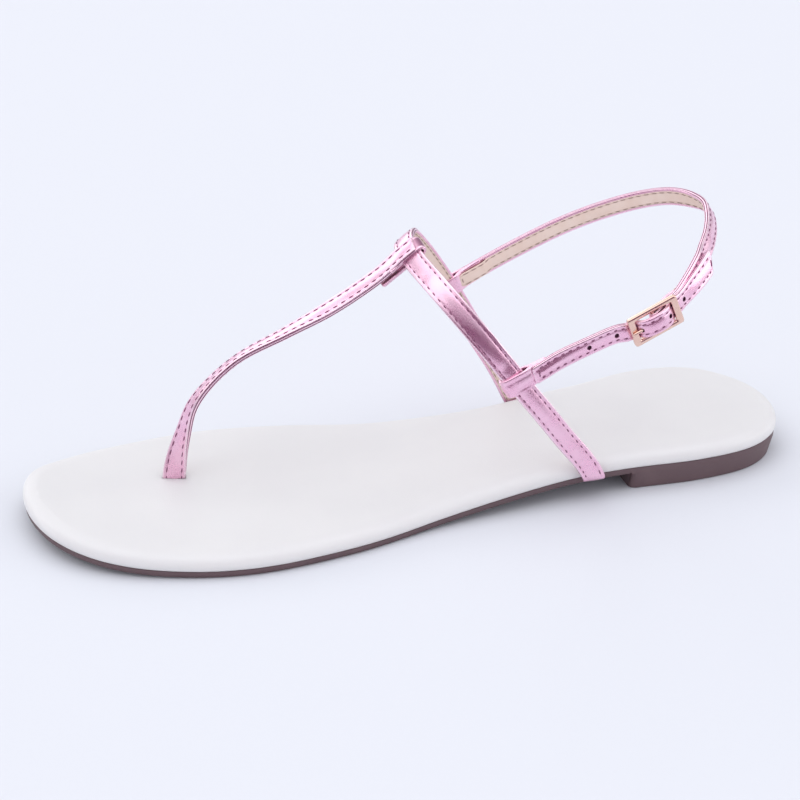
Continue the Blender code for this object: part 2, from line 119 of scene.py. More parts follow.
def join_rings(faces, loops):
    """Walls between rings of the same count, each closed on itself."""
    for low, high in zip(loops, loops[1:]):
        for i in range(len(low)):
            j = (i + 1) % len(low)
            faces.append((low[i], low[j], high[j], high[i]))


def close_across(points, faces, loop, height=None):
    """Close a ring round the sole with a grid across it, moved up by height(x, y) where that is given."""
    half = len(loop) // 2
    rows = [[loop[0]]]
    for i in range(1, half):
        near, far = np.array(points[loop[i]]), np.array(points[loop[-i]])
        share = np.arange(1, SOLE_COLUMNS)[:, None] / SOLE_COLUMNS
        inner = near + (far - near) * share
        if height:
            inner[:, 2] += height(inner[:, 0], inner[:, 1])
        rows.append([loop[i]] + add_ring(points, inner) + [loop[-i]])
    rows.append([loop[half]])
    for first, second in zip(rows, rows[1:]):
        for a, b in zip(range(SOLE_COLUMNS), range(1, SOLE_COLUMNS + 1)):
            corners = [first[min(a, len(first) - 1)], first[min(b, len(first) - 1)],
                       second[min(b, len(second) - 1)], second[min(a, len(second) - 1)]]
            faces.append(tuple(dict.fromkeys(corners)))


def add_piece(name, points, faces, material, joint_and_painted_light=None):
    """A smooth piece from points in millimetres. The optional per-point value gives each point its share of
    the finish's second colour: a dark joint, or painted shade in a groove, fold or crevice, or painted light
    on a wall; below zero it is a painted highlight on a strap's turned edge."""
    mesh = bpy.data.meshes.new(name)
    mesh.from_pydata([tuple(point) for point in np.array(points) * MM], [], faces)
    if joint_and_painted_light is not None:
        mesh.attributes.new("joint_and_painted_light", "FLOAT", "POINT").data.foreach_set("value", np.ravel(joint_and_painted_light))
    bm = bmesh.new()
    bm.from_mesh(mesh)
    bmesh.ops.recalc_face_normals(bm, faces=bm.faces)
    if bm.calc_volume(signed=True) < 0:
        bmesh.ops.reverse_faces(bm, faces=bm.faces)
    bm.to_mesh(mesh)
    bm.free()
    mesh.shade_smooth()
    mesh.materials.append(material)
    piece = bpy.data.objects.new(name, mesh)
    bpy.context.scene.collection.objects.link(piece)
    return piece


class Shade:
    """A socket of a material's nodes; Python's operators on it add Math nodes."""

    def __init__(self, tree, socket=None):
        self.tree = tree
        self.socket = socket

    def node(self, kind, settings=None, sockets=None, output=0):
        """A new node: its settings are set first, then the values or links of its sockets."""
        made = self.tree.nodes.new(kind)
        for name, value in (settings or {}).items():
            setattr(made, name, value)
        for name, value in (sockets or {}).items():
            if isinstance(value, Shade):
                self.tree.links.new(value.socket, made.inputs[name])
            else:
                made.inputs[name].default_value = value
        return Shade(self.tree, made.outputs[output])

    def math(self, operation, *values):
        return self.node("ShaderNodeMath", {"operation": operation}, dict(enumerate(values)))

    def __add__(self, other):
        return self.math("ADD", self, other)

    def __sub__(self, other):
        return self.math("SUBTRACT", self, other)

    def __rsub__(self, other):
        return self.math("SUBTRACT", other, self)

    def __mul__(self, other):
        return self.math("MULTIPLY", self, other)

    __radd__ = __add__
    __rmul__ = __mul__


def new_finish(name, constants):
    """A material with its constant values set, and the place on the piece to start its expressions from."""
    material = bpy.data.materials.new(name)
    material.use_nodes = True
    shader = material.node_tree.nodes["Principled BSDF"]
    for socket, value in constants.items():
        shader.inputs[socket].default_value = value
    return material, Shade(material.node_tree).node("ShaderNodeTexCoord", output="Object")


def feed(material, sockets):
    """Link what changes over the surface to the material's shader."""
    shader = material.node_tree.nodes["Principled BSDF"]
    for name, value in sockets.items():
        material.node_tree.links.new(value.socket, shader.inputs[name])


def noise(place, size, detail):
    """Soft noise whose features are about the given size in millimetres."""
    return place.node("ShaderNodeTexNoise", {}, {"Vector": place, "Scale": 1 / (size * MM), "Detail": detail})


def ramp(value, low, high):
    """Smooth step of a value from 0 at low to 1 at high."""
    return value.node("ShaderNodeMapRange", {"interpolation_type": "SMOOTHSTEP"},
                      {"Value": value, "From Min": low, "From Max": high})


def mix(share, first, second):
    """A colour between two others; the node's colour sockets have no names of their own, only numbers."""
    return share.node("ShaderNodeMix", {"data_type": "RGBA"}, {0: share, 6: first, 7: second}, output=2)


def bump(height, depth, strength):
    """Surface relief from a height value; depth is in millimetres."""
    return height.node("ShaderNodeBump", {}, {"Height": height, "Distance": depth * MM, "Strength": strength})


rubber, place = new_finish("brown_rubber", {"Specular IOR Level": 0.4})
scuff = ramp(noise(place, 9.0, 5.0), 0.45, 0.75)
grain = noise(place, 0.45, 2.0)
feed(rubber, {
    "Base Color": mix(scuff * 0.5 + grain * 0.3, RUBBER_BROWN, RUBBER_WORN),
    "Roughness": 0.5 + scuff * 0.14,
    "Normal": bump(grain, 0.03, 0.6),
})

turns = sole_turns()
sole_x = -SOLE_LENGTH / 2 * np.cos(np.radians(turns))
sole_top = outsole_top(sole_x)
underside = sole_top - OUTSOLE_THICKNESS
on_heel = sole_x < sum(HEEL_BREAST) / 2
ground = np.where(on_heel, 0.0, underside)
from_breast = np.clip(HEEL_BREAST[0] - sole_x, 0.0, BREAST_ROUNDING)
corner = BREAST_ROUNDING - np.sqrt(BREAST_ROUNDING ** 2 - (BREAST_ROUNDING - from_breast) ** 2)
corner = np.where(on_heel, corner, 0.0)
wall_foot = OUTSOLE_INSET + WALL_DRAFT + np.where(on_heel, HEEL_TAPER, 0.0) + corner
wall_head = OUTSOLE_INSET + HEAD_DRAFT + corner
heel_head = np.where(on_heel, underside, ground + WALL_ROUNDING + HEAD_RISE)
lip_inset, lip_step, lip_rise = LIP
outsole_rings = [
    (wall_foot + WALL_ROUNDING * (1 - math.sin(bend)), ground + WALL_ROUNDING * (1 - math.cos(bend)))
    for bend in np.linspace(0.0, math.pi / 2, WALL_STEPS)
] + [
    (wall_head, heel_head),
    (OUTSOLE_INSET + lip_inset, np.maximum(heel_head + lip_step, underside + lip_rise)),
] + [(OUTSOLE_INSET + inset, sole_top - drop) for inset, drop in UPPER_EDGE]
points, faces = [], []
loops = [add_ring(points, np.column_stack([outline(turns, inset), height]))
         for inset, height in outsole_rings]
join_rings(faces, loops)
for loop in (loops[0], loops[-1]):
    close_across(points, faces, loop)
outsole = add_piece("outsole_moulding", points, faces, rubber)
outsole.data.set_sharp_from_angle(angle=SHARP_FROM)
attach(outsole, "root")
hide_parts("outsole")


# Footbed: a foam pad on a board, covered in smooth white synthetic leather drawn down over the edge
# and under it. The top is nearly flat, a little hollowed at heel and ball by the mould, and the cover
# dips round the slot where the thong goes through. Its wall is painted lighter and warmer than its top:
# painted light, standing in for light from in front.
FOOTBED_EDGE = [
    (2.6, 0.02), (1.0, 0.04), (0.35, 0.20), (0.08, 0.55), (0.0, 1.1), (0.0, 1.8), (0.03, 2.5), (0.16, 3.1),
    (0.45, 3.65), (0.90, 4.10), (1.50, 4.45), (2.30, 4.68), (3.3, 4.80), (4.6, 4.84),
]
# Heights over which the painted light on the wall fades: full below the first, none above the second.
PAINTED_WALL_LIGHT_BAND = (2.8, 4.6)
HOLLOWS = [
    ((-84.0, 0.0), (20.0, 13.0), 0.55),
    ((45.0, -4.0), (26.0, 24.0), 0.40),
    ((92.0, -12.0), (14.0, 15.0), 0.30),
]
THONG_FOOT = (74.5, -13.0)
POST_ACROSS = (-0.95, 0.30, 0.0)
SLOT_SIZE = (7.5, 2.3, 14.0)
SLOT_LEVEL = 9.0
SLOT_DIP = 0.25
SLOT_DIP_REACH = 1.6
SLOT_SHARP_FROM = math.radians(45)
WHITE_COVER = (0.693, 0.684, 0.696, 1.0)
WHITE_SHADE = (0.664, 0.655, 0.670, 1.0)
# Painted light: the wall's lighter, warmer colour.
WHITE_PAINTED_WALL_LIGHT = (0.740, 0.722, 0.722, 1.0)


def joint_and_painted_light_share(place):
    """Each point's value of dark joint or painted light, as the piece was given it."""
    return place.node("ShaderNodeAttribute", {"attribute_name": "joint_and_painted_light"}, output="Fac")


def pebbles(place, size):
    """Rounded cells about the given size in millimetres: 0 in the middle of each, more towards its edge."""
    return place.node("ShaderNodeTexVoronoi", {"feature": "F1"}, {"Vector": place, "Scale": 1 / (size * MM)})


cover, place = new_finish("white_synthetic_leather", {
    "Specular IOR Level": 0.45,
    "Subsurface Weight": 0.5,
    "Subsurface Radius": (1.0, 0.95, 0.95),
    "Subsurface Scale": 4.0 * MM,
})
cloud = noise(place, 28.0, 4.0)
pores = pebbles(place, 0.55)
grain = noise(place, 0.35, 2.0)
top_colour = mix(ramp(cloud, 0.35, 0.75) * 0.7 + grain * 0.2, WHITE_COVER, WHITE_SHADE)
# The base colour carries painted light, lighter and warmer down the wall than on the top.
feed(cover, {
    "Base Color": mix(joint_and_painted_light_share(place), top_colour, WHITE_PAINTED_WALL_LIGHT),
    "Roughness": 0.40 + cloud * 0.14,
    "Normal": bump(ramp(pores, 0.05, 0.6) + grain * 0.5, 0.025, 0.5),
})


def footbed_dip(x, y):
    """How far the cover lies below the pad's level top: soft hollows, and the dip round the thong's slot."""
    dip = 0.0 * x
    for (middle_x, middle_y), (length, width), depth in HOLLOWS:
        dip = dip - depth * np.exp(-((x - middle_x) / length) ** 2 - ((y - middle_y) / width) ** 2)
    along = (x - THONG_FOOT[0]) * POST_ACROSS[0] + (y - THONG_FOOT[1]) * POST_ACROSS[1]
    aside = (x - THONG_FOOT[0]) * POST_ACROSS[1] - (y - THONG_FOOT[1]) * POST_ACROSS[0]
    away = np.hypot(np.maximum(np.abs(along) - SLOT_SIZE[0] / 2, 0.0),
                    np.maximum(np.abs(aside) - SLOT_SIZE[1] / 2, 0.0))
    return dip - SLOT_DIP * np.exp(-(away / SLOT_DIP_REACH) ** 2)


def add_cutter(name, bm):
    """An object to cut a piece with, from a bmesh that is then freed."""
    mesh = bpy.data.meshes.new(name)
    bm.to_mesh(mesh)
    bm.free()
    cutter = bpy.data.objects.new(name, mesh)
    bpy.context.scene.collection.objects.link(cutter)
    return cutter


def cut_out(piece, cutter):
    """Cut a piece with another object, which is then removed."""
    modifier = piece.modifiers.new("cut", "BOOLEAN")
    modifier.operation = "DIFFERENCE"
    modifier.object = cutter
    modifier.solver = "EXACT"
    bpy.context.view_layer.update()
    result = bpy.data.meshes.new_from_object(piece.evaluated_get(bpy.context.evaluated_depsgraph_get()))
    piece.modifiers.clear()
    piece.data = result
    bpy.data.objects.remove(cutter, do_unlink=True)


points, faces = [], []
loops = [add_ring(points, np.column_stack([outline(turns, inset), sole_top + height]))
         for inset, height in FOOTBED_EDGE]
join_rings(faces, loops)
close_across(points, faces, loops[0])
close_across(points, faces, loops[-1], footbed_dip)
# Each wall ring's share of the painted light, by its height.
edge_heights = np.repeat([height for inset, height in FOOTBED_EDGE], len(turns))
painted_wall_light = np.zeros(len(points))
painted_wall_light[:len(edge_heights)] = np.interp(edge_heights, PAINTED_WALL_LIGHT_BAND, (1.0, 0.0))
footbed = add_piece("footbed_pad", points, faces, cover, painted_wall_light)
bm = bmesh.new()
bmesh.ops.create_cube(bm, size=1.0)
bmesh.ops.scale(bm, vec=np.array(SLOT_SIZE) * MM, verts=bm.verts)
thong_slot = add_cutter("thong_slot", bm)
thong_slot.location = Vector((*THONG_FOOT, SLOT_LEVEL)) * MM
thong_slot.rotation_euler = (0.0, 0.0, math.atan2(POST_ACROSS[1], POST_ACROSS[0]))
cut_out(footbed, thong_slot)
footbed.data.set_sharp_from_angle(angle=SLOT_SHARP_FROM)
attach(footbed, "root")
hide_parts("footbed")


# Side strap: a strip of metallic pink leather with turned edges on a thin tan lining, sewn with two
# rows of plum thread. It goes up from between footbed and outsole, over the instep and down again.
SIDE_STRAP_WIDTH = 7.0
STRAP_THICKNESS = 1.8
TONGUE_THICKNESS = 1.0
LEATHER_THICKNESS = 1.68
LEATHER_CORNER = 0.9
LINING_THICKNESS = 0.6
LINING_INSET = 0.75
LINING_CORNER = 2.1
ROUTE_STEP = 0.4
STATION_STEP = 0.5
END_STEPS = 7
END_TRIM = 0.5
SLANT_REACH = 9.0
FACE_INSET = 1.6
FACE_CROWN = 0.09
FACE_RIPPLE = (0.03, 2.9, 5.3)
UNSEWN_FULLNESS = 0.4
UNSEWN = (0.0, 0.0)
SEAM_EASE = 0.8
SEAM_GROOVE = 0.12
SEAM_LIFT = 0.05
STITCH_INSET = 1.25
STITCH_PITCH = 2.6
STITCH_LENGTH = 1.25
LINING_STITCH_LENGTH = 1.75
STITCH_SLANT = 0.12
STITCH_LIFT = 0.06
STITCH_REACH = np.array([-1.0, -0.75, -0.35, 0.35, 0.75, 1.0])
STITCH_SWELL = np.array([0.45, 0.85, 1.0, 1.0, 0.85, 0.45])
STITCH_RISE = np.array([-0.16, 0.0, 0.05, 0.05, 0.0, -0.16])
THREAD_TURNS = np.arange(6) * math.pi / 3
THREAD_RADIUS = 0.21
LINING_THREAD_RADIUS = 0.13
SOLE_LINE = (-1.0, 0.0, 0.0)
LEG_ACROSS = (-0.81, 0.0, 0.59)
OUTER_LEG_ACROSS = (-0.80, -0.09, 0.59)


def lay(across, thick, *places):
    """Rows of a strap's route that share their width direction and thickness."""
    return [(place, across, thick) for place in places]


SIDE_STRAP = [
    *lay(SOLE_LINE, TONGUE_THICKNESS,
         (-50.0, 21.0, 7.7), (-50.0, 29.0, 7.7), (-49.8, 30.1, 8.1), (-49.4, 30.6, 9.2)),
    *lay(LEG_ACROSS, STRAP_THICKNESS, (-47.3, 30.1, 13.4)),
    *lay(OUTER_LEG_ACROSS, STRAP_THICKNESS,
         (-40.3, 29.6, 22.8), (-31.5, 29.1, 34.9), (-23.2, 27.7, 46.0), (-14.2, 24.9, 58.4)),
    *lay(LEG_ACROSS, STRAP_THICKNESS,
         (-8.5, 19.9, 66.0), (-3.5, 12.0, 72.4), (-0.3, 1.0, 76.4), (0.3, -8.0, 78.7), (-2.9, -14.9, 77.9),
         (-8.4, -20.8, 71.4), (-14.4, -25.2, 62.8), (-21.6, -27.6, 51.2), (-30.4, -27.6, 35.4),
         (-37.0, -26.2, 24.0), (-42.1, -25.7, 13.4)),
    *lay(SOLE_LINE, TONGUE_THICKNESS,
         (-43.7, -25.8, 9.8), (-44.0, -25.4, 8.8), (-44.1, -24.4, 8.4), (-44.1, -16.5, 8.4)),
]
SIDE_LINED = (12.0, 205.5)
SIDE_SEWN = (10.4, 204.2)
SIDE_CROWNS = [(0.0, 1.0), (20.0, 1.0), (36.0, 1.5), (60.0, 1.5), (80.0, 1.0), (230.0, 1.0)]
SIDE_CREASES = [(60.5, -1.2, 1.6, 2.6, 0.16), (70.0, 1.6, 2.0, 2.4, 0.14), (98.0, -1.4, 2.2, 2.4, 0.15),
                (131.0, 0.8, 1.8, 2.8, 0.15)]
PINK = (0.91, 0.51, 0.695, 1.0)
PINK_PALE = (0.96, 0.645, 0.79, 1.0)
PINK_PAINTED_HIGHLIGHT = (0.97, 0.81, 0.88, 1.0)
PLUM = (0.16, 0.035, 0.10, 1.0)
PLUM_PALE = (0.26, 0.08, 0.17, 1.0)
TAN = (0.765, 0.590, 0.510, 1.0)
TAN_PALE = (0.820, 0.675, 0.610, 1.0)
TAN_PAINTED_SHADE = (0.52, 0.36, 0.30, 1.0)
BROWN_THREAD = (0.20, 0.11, 0.10, 1.0)
BROWN_THREAD_PALE = (0.34, 0.21, 0.18, 1.0)

leather, place = new_finish("pink_metallic_leather", {
    "Metallic": 0.93,
    "Coat Weight": 0.25,
    "Coat Roughness": 0.12,
})
joint_and_painted_light = joint_and_painted_light_share(place)
cloud = noise(place, 6.0, 3.0)
pebble = pebbles(place, 0.45)
grain = noise(place, 0.25, 2.0)
face_colour = mix(ramp(cloud, 0.3, 0.7) * 0.6 + grain * 0.4, PINK, PINK_PALE)
# Painted highlight: below zero, on turned edges and squared ends, the face is painted a near-white pink.
face_colour = mix(ramp(0.0 - joint_and_painted_light, 0.0, 1.0), face_colour, PINK_PAINTED_HIGHLIGHT)
feed(leather, {
    # Plum marks the real dark joints between the layers, and also painted shade in seam grooves, at sharp
    # folds, along the lining's edge and under the tongues.
    "Base Color": mix(ramp(joint_and_painted_light, 0.15, 1.0) * 0.9, face_colour, PLUM),
    "Roughness": 0.20 + cloud * 0.08 + grain * 0.08 + ramp(joint_and_painted_light, 0.0, 1.0) * 0.25,
    "Normal": bump(ramp(pebble, 0.0, 0.55) + grain * 0.6, 0.04, 0.6),
})

lining_hide, place = new_finish("tan_lining", {"Specular IOR Level": 0.3})
cloud = noise(place, 5.0, 4.0)
nap = noise(place, 0.3, 3.0)
pores = pebbles(place, 0.7)
face_colour = mix(ramp(cloud, 0.3, 0.7) * 0.5 + nap * 0.5, TAN, TAN_PALE)
feed(lining_hide, {
    # The base colour carries painted shade along the seam line and where the lining meets the leather.
    "Base Color": mix(joint_and_painted_light_share(place), face_colour, TAN_PAINTED_SHADE),
    "Roughness": 0.62 + nap * 0.2,
    "Normal": bump(nap + ramp(pores, 0.0, 0.3) * 0.6, 0.03, 0.6),
})


def new_thread(name, deep, pale):
    """A thread's finish: two shades of fine twisted fibre."""
    material, place = new_finish(name, {"Specular IOR Level": 0.6, "Sheen Weight": 0.2})
    fibre = noise(place, 0.12, 2.0)
    feed(material, {
        "Base Color": mix(fibre, deep, pale),
        "Roughness": 0.38 + fibre * 0.2,
        "Normal": bump(fibre, 0.03, 0.8),
    })
    return material


plum_thread = new_thread("plum_thread", PLUM, PLUM_PALE)
brown_thread = new_thread("brown_thread", BROWN_THREAD, BROWN_THREAD_PALE)


class Strap:
    """A strap's smooth route through its rows of place, width direction and thickness."""

    def __init__(self, rows, width, outer, end_slant=0.0):
        table = np.array([(*place, *across, thick) for place, across, thick in rows], float)
        chords = np.linalg.norm(np.diff(table[:, :3], axis=0), axis=1)
        knots = np.concatenate([[0.0], np.cumsum(np.sqrt(chords))])
        slopes = np.gradient(table, knots, axis=0)
        samples = [table[:1]]
        for i, chord in enumerate(chords):
            steps = max(4, math.ceil(chord / ROUTE_STEP))
            part = (np.arange(steps)[:, None] + 1) / steps
            ease = part * part * (3 - 2 * part)
            pull = slopes[i] * (1 - part) - slopes[i + 1] * part
            samples.append(table[i] * (1 - ease) + table[i + 1] * ease
                           + (knots[i + 1] - knots[i]) * part * (1 - part) * pull)
        samples = np.concatenate(samples)
        self.width = width
        self.end_slant = end_slant
        self.sewn = UNSEWN
        self.crowns = [(0.0, 1.0)]
        self.creases = []
        self.painted_fold_shades = []
        self.flares = [(0.0, 0.0)]
        self.place = samples[:, :3]
        self.along = np.concatenate([[0.0], np.cumsum(np.linalg.norm(np.diff(self.place, axis=0), axis=1))])
        run = np.gradient(self.place, self.along, axis=0)
        run /= np.linalg.norm(run, axis=1, keepdims=True)
        across = samples[:, 3:6] / np.linalg.norm(samples[:, 3:6], axis=1, keepdims=True)
        face = np.cross(run, across)
        slant = np.linalg.norm(face, axis=1, keepdims=True)
        self.across = across / slant
        self.face = outer * face / slant
        self.thick = samples[:, 6]

    def thickness(self, along):
        return np.interp(along, self.along, self.thick)

    def half(self, along):
        """Half the strap's width, with what it widens by along its length."""
        return self.width / 2 + np.interp(along, *zip(*self.flares))

    def seam(self, along):
        """1 where the strap is sewn, easing to 0 at either end of the seam."""
        reach = np.clip(np.minimum(along - self.sewn[0], self.sewn[1] - along) / SEAM_EASE + 1.0, 0.0, 1.0)
        return reach * reach * (3 - 2 * reach)

    def crown(self, along):
        """How far the middle of the padded face stands above its seams, with a slight ripple."""
        fullness = UNSEWN_FULLNESS + (1.0 - UNSEWN_FULLNESS) * self.seam(along)
        fullness = np.interp(along, *zip(*self.crowns)) * fullness
        depth, first, second = FACE_RIPPLE
        ripple = depth * np.sin(along / first) * np.sin(along / second)
        return FACE_CROWN * (self.width / 2 - FACE_INSET) * fullness + ripple

    def relief(self, along, across):
        """Soft creases pressed into the face: each has its place, its two half sizes and its depth."""
        out = 0.0 * along
        for middle, aside, length, width, depth in self.creases:
            out = out - depth * np.exp(-((along - middle) / length) ** 2 - ((across - aside) / width) ** 2)
        return out

    def painted_fold_shade(self, along):
        """Painted shade on the face where it bends sharply or rises from under a bar: each has its place, its
        half length and its share of plum.
        """
        dark = 0.0 * along
        for middle, length, share in self.painted_fold_shades:
            dark = dark + share * np.exp(-((along - middle) / length) ** 2)
        return dark

    def spot(self, along, across, out):
        """World places from distances along the strap, across it, and outwards from its middle."""
        reach = np.clip((along - self.along[-1]) / SLANT_REACH + 1.0, 0.0, 1.0)
        along = along + self.end_slant * across * reach * reach * (3 - 2 * reach)

        def at(values):
            return np.stack([np.interp(along, self.along, values[:, k]) for k in range(3)], axis=-1)

        aside = np.asarray(across)[..., None] * at(self.across)
        return at(self.place) + aside + np.asarray(out)[..., None] * at(self.face)


def end_draw(stations, radius):
    """How far a strap's edges draw in at its rounded ends."""
    reach = np.clip(np.minimum(stations - stations[0], stations[-1] - stations), 0.0, radius)
    return radius - np.sqrt(radius ** 2 - (radius - reach) ** 2)


def stations_between(first, last, radius):
    """Places along a strap for its sections, close together at the rounded ends."""
    end = radius * (1 - np.cos(np.linspace(0.0, math.pi / 2, END_STEPS)))
    middle = np.linspace(first + radius, last - radius, round((last - first) / STATION_STEP))
    return np.concatenate([first + end[:-1], middle, last - end[-2::-1]])


def add_tube(points, faces, rings):
    """A tube through rings of points, closed by a face at each end."""
    loops = [add_ring(points, ring) for ring in rings]
    join_rings(faces, loops)
    faces.extend([tuple(loops[0]), tuple(loops[-1])])


def loft_strap(name, strap, stations, half_section, material, face_rows=0):
    """A closed strip through mirrored sections of (across, out, share of dark joint or painted light), from
    the low middle to the top middle. The strap's creases press into the last rows, which are its face."""
    across, out, joint_and_painted_light = (np.stack([np.broadcast_to(row[k], stations.shape) for row in half_section], axis=1)
                           for k in range(3))
    across = np.concatenate([across, -across[:, -2:0:-1]], axis=1)
    out = np.concatenate([out, out[:, -2:0:-1]], axis=1)
    joint_and_painted_light = np.concatenate([joint_and_painted_light, joint_and_painted_light[:, -2:0:-1]], axis=1)
    along = np.broadcast_to(stations[:, None], across.shape)
    rows = len(half_section)
    on_face = np.abs(np.arange(across.shape[1]) - (rows - 1)) < face_rows
    rings = strap.spot(along, across, out + on_face * strap.relief(along, across))
    points, faces = [], []
    add_tube(points, faces, rings)
    piece = add_piece(name, points, faces, material, joint_and_painted_light)
    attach(piece, "root")
    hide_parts("upper")
    return piece


def face_leather(name, strap, first, last, corner=LEATHER_CORNER):
    """The pink strip: a thin face, a core and a hem pressed together, with a dark joint line between each,
    a groove along each seam and a low crown. The groove, sharp folds and the lining's edge carry painted
    shade, and the turned edges and squared ends a painted highlight. A thin tongue has no joints, and its
    underside is tinted plum: partly the leather's flesh side, partly painted shade in the gap beneath it."""
    stations = stations_between(first, last, corner)
    draw = end_draw(stations, corner)
    half = strap.half(stations) - draw
    thick = strap.thickness(stations)
    depth = np.interp(thick, (0.0, TONGUE_THICKNESS, STRAP_THICKNESS),
                      (0.0, TONGUE_THICKNESS, LEATHER_THICKNESS))
    hem = np.clip((thick - TONGUE_THICKNESS) / (STRAP_THICKNESS - TONGUE_THICKNESS), 0.0, 1.0)
    seam = strap.seam(stations)
    end = draw / corner
    flat = 1.0 - 0.6 * end
    middle = (thick - depth) / 2
    top = middle + depth / 2 * flat
    face_half = half - FACE_INSET
    rim = top + SEAM_LIFT * seam
    crown = strap.crown(stations)
    # pale is a painted highlight, on the turned edges and over the squared ends.
    pale = -np.maximum(0.6 * hem, end)
    # The unlined underside's plum share: partly its flesh side, partly painted shade in the gap beneath a
    # tongue.
    flesh_and_painted_shade = 0.45 * (1.0 - hem)
    # face carries painted shade at sharp folds, and a painted highlight at the ends.
    face = strap.painted_fold_shade(stations) - end

    def level(share):
        return middle + depth * flat * (share - 0.5)

    # Below zero, the third values are painted highlights on the edge rolls; the seam's share paints shade in
    # its groove, and 0.9 at the lining's edge paints shade in that crevice.
    section = [
        (0.0 * half, level(0.0), flesh_and_painted_shade),
        (half - LINING_INSET - 0.25, level(0.0), flesh_and_painted_shade),
        (half - LINING_INSET - 0.05, level(0.0), 0.9),
        (half - LINING_INSET + 0.15, level(0.0), flesh_and_painted_shade),
        (half - 0.26, level(0.01), 0.3 * flesh_and_painted_shade),
        (half - 0.08, level(0.06), -0.4),
        (half - 0.02, level(0.13), -0.4),
        (half - 0.03, level(0.165), 0.6 * hem),
        (half - 0.32 * hem, level(0.18), hem),
        (half - 0.32 * hem, level(0.30), hem),
        (half - 0.03, level(0.315), 0.6 * hem),
        (half, level(0.35), -0.4),
        (half + 0.02, level(0.46), -0.5),
        (half, level(0.57), -0.4),
        (half - 0.03, level(0.60), 0.6 * hem),
        (half - 0.34 * hem, level(0.615), hem),
        (half - 0.34 * hem, level(0.755), hem),
        (half - 0.04, level(0.77), 0.6 * hem),
        (half - 0.03, level(0.81), -0.3),
        (half - 0.10, level(0.90), pale),
        (half - 0.26, level(0.97), pale),
        (half - 0.50, top, 0.4 * pale),
        (half - 0.95, top + 0.02 * seam, face),
        (half - STITCH_INSET, top - SEAM_GROOVE * seam, 0.4 * seam + face),
        (face_half, rim, face),
        (face_half * 0.82, rim + crown * 0.33, face),
        (face_half * 0.60, rim + crown * 0.64, face),
        (face_half * 0.30, rim + crown * 0.91, face),
        (0.0 * half, rim + crown, face),
    ]
    return loft_strap(name, strap, stations, section, leather, face_rows=8)


def lining_depth(strap, along, covers):
    """Outward place of the lining's middle: under the leather, or stepped inwards over a tucked-in tongue."""
    depth = (LINING_THICKNESS - strap.thickness(along)) / 2
    for (first, before), (last, after) in zip(covers, covers[1:]):
        part = np.clip((along - first) / (last - first), 0.0, 1.0)
        inside = (along >= first) & (along < last)
        depth = depth - np.where(inside, before + (after - before) * part * part * (3 - 2 * part), 0.0)
    return depth


def lining_strip(name, strap, first, last, covers=(), corner=LINING_CORNER):
    """The tan strip on the foot's side, a little narrower than the leather, with softly rounded edges, and
    painted shade along its seam and where it lies against the leather.
    """
    stations = stations_between(first, last, corner)
    full = strap.half(stations) - LINING_INSET
    half = full - end_draw(stations, corner)
    share = half / full
    middle = lining_depth(strap, stations, covers)
    depth = LINING_THICKNESS * (1.0 - 0.5 * end_draw(stations, corner) / corner)
    seam_at = half - (STITCH_INSET - LINING_INSET) * share
    # The third values are painted shade: in the seam's groove, and on the rounded edge and side that lie
    # against the leather.
    section = [
        (0.0 * half, middle - depth / 2, 0.0),
        (seam_at - 0.40 * share, middle - depth / 2, 0.0),
        (seam_at, middle - depth / 2 + 0.07, 0.5),
        (half - 0.30 * share, middle - depth / 2 + 0.01, 0.0),
        (half - 0.16 * share, middle - depth / 2 + 0.04, 0.0),
        (half - 0.05 * share, middle - depth * 0.30, 0.0),
        (half, middle, 0.2),
        (half - 0.06 * share, middle + depth * 0.32, 0.8),
        (half - 0.3 * share, middle + depth / 2, 1.0),
        (0.0 * half, middle + depth / 2, 1.0),
    ]
    return loft_strap(name, strap, stations, section, lining_hide)


def seam_rows(strap, sewn, turned=(False, False), pitch=STITCH_PITCH, length=STITCH_LENGTH):
    """Ends of the stitches, as (along, across) pairs: two rows, joined across where the seam turns back."""
    count = max(1, round((sewn[1] - sewn[0]) / pitch))
    pitch = (sewn[1] - sewn[0]) / count
    begins = sewn[0] + pitch * np.arange(count) + (pitch - length) / 2
    lean = STITCH_SLANT / 2
    seams = [((b, s - lean), (b + length, s + lean)) for b in begins
             for s in np.array([-1, 1]) * (strap.half(b) - STITCH_INSET)]
    for end, turn in zip(sewn, turned):
        if turn:
            side = strap.half(end) - STITCH_INSET
            seams.append(((end - lean, -side * 0.5), (end + lean, side * 0.5)))
    return np.array(seams)


def sew(name, strap, seams, out, material, thread_radius):
    """Stitches as short rounded dashes of thread lying on out(along, across), with their ends drawn in."""
    middle = seams.mean(axis=1)
    half = (seams[:, 1] - seams[:, 0]) / 2
    line = middle[:, None] + half[:, None] * STITCH_REACH[:, None]
    aside = np.stack([-half[:, 1], half[:, 0]], axis=1) / np.linalg.norm(half, axis=1, keepdims=True)
    radius = thread_radius * STITCH_SWELL[:, None]
    swing = radius * np.cos(THREAD_TURNS)
    along = line[:, :, None, 0] + aside[:, None, None, 0] * swing
    across = line[:, :, None, 1] + aside[:, None, None, 1] * swing
    level = out(line[:, :, 0], line[:, :, 1])
    side = np.sign(level.mean())
    height = level[:, :, None] + side * (STITCH_RISE[:, None] + radius * np.sin(THREAD_TURNS))
    points, faces = [], []
    for stitch in strap.spot(along, across, height):
        add_tube(points, faces, stitch)
    piece = add_piece(name, points, faces, material)
    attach(piece, "root")
    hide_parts("upper")


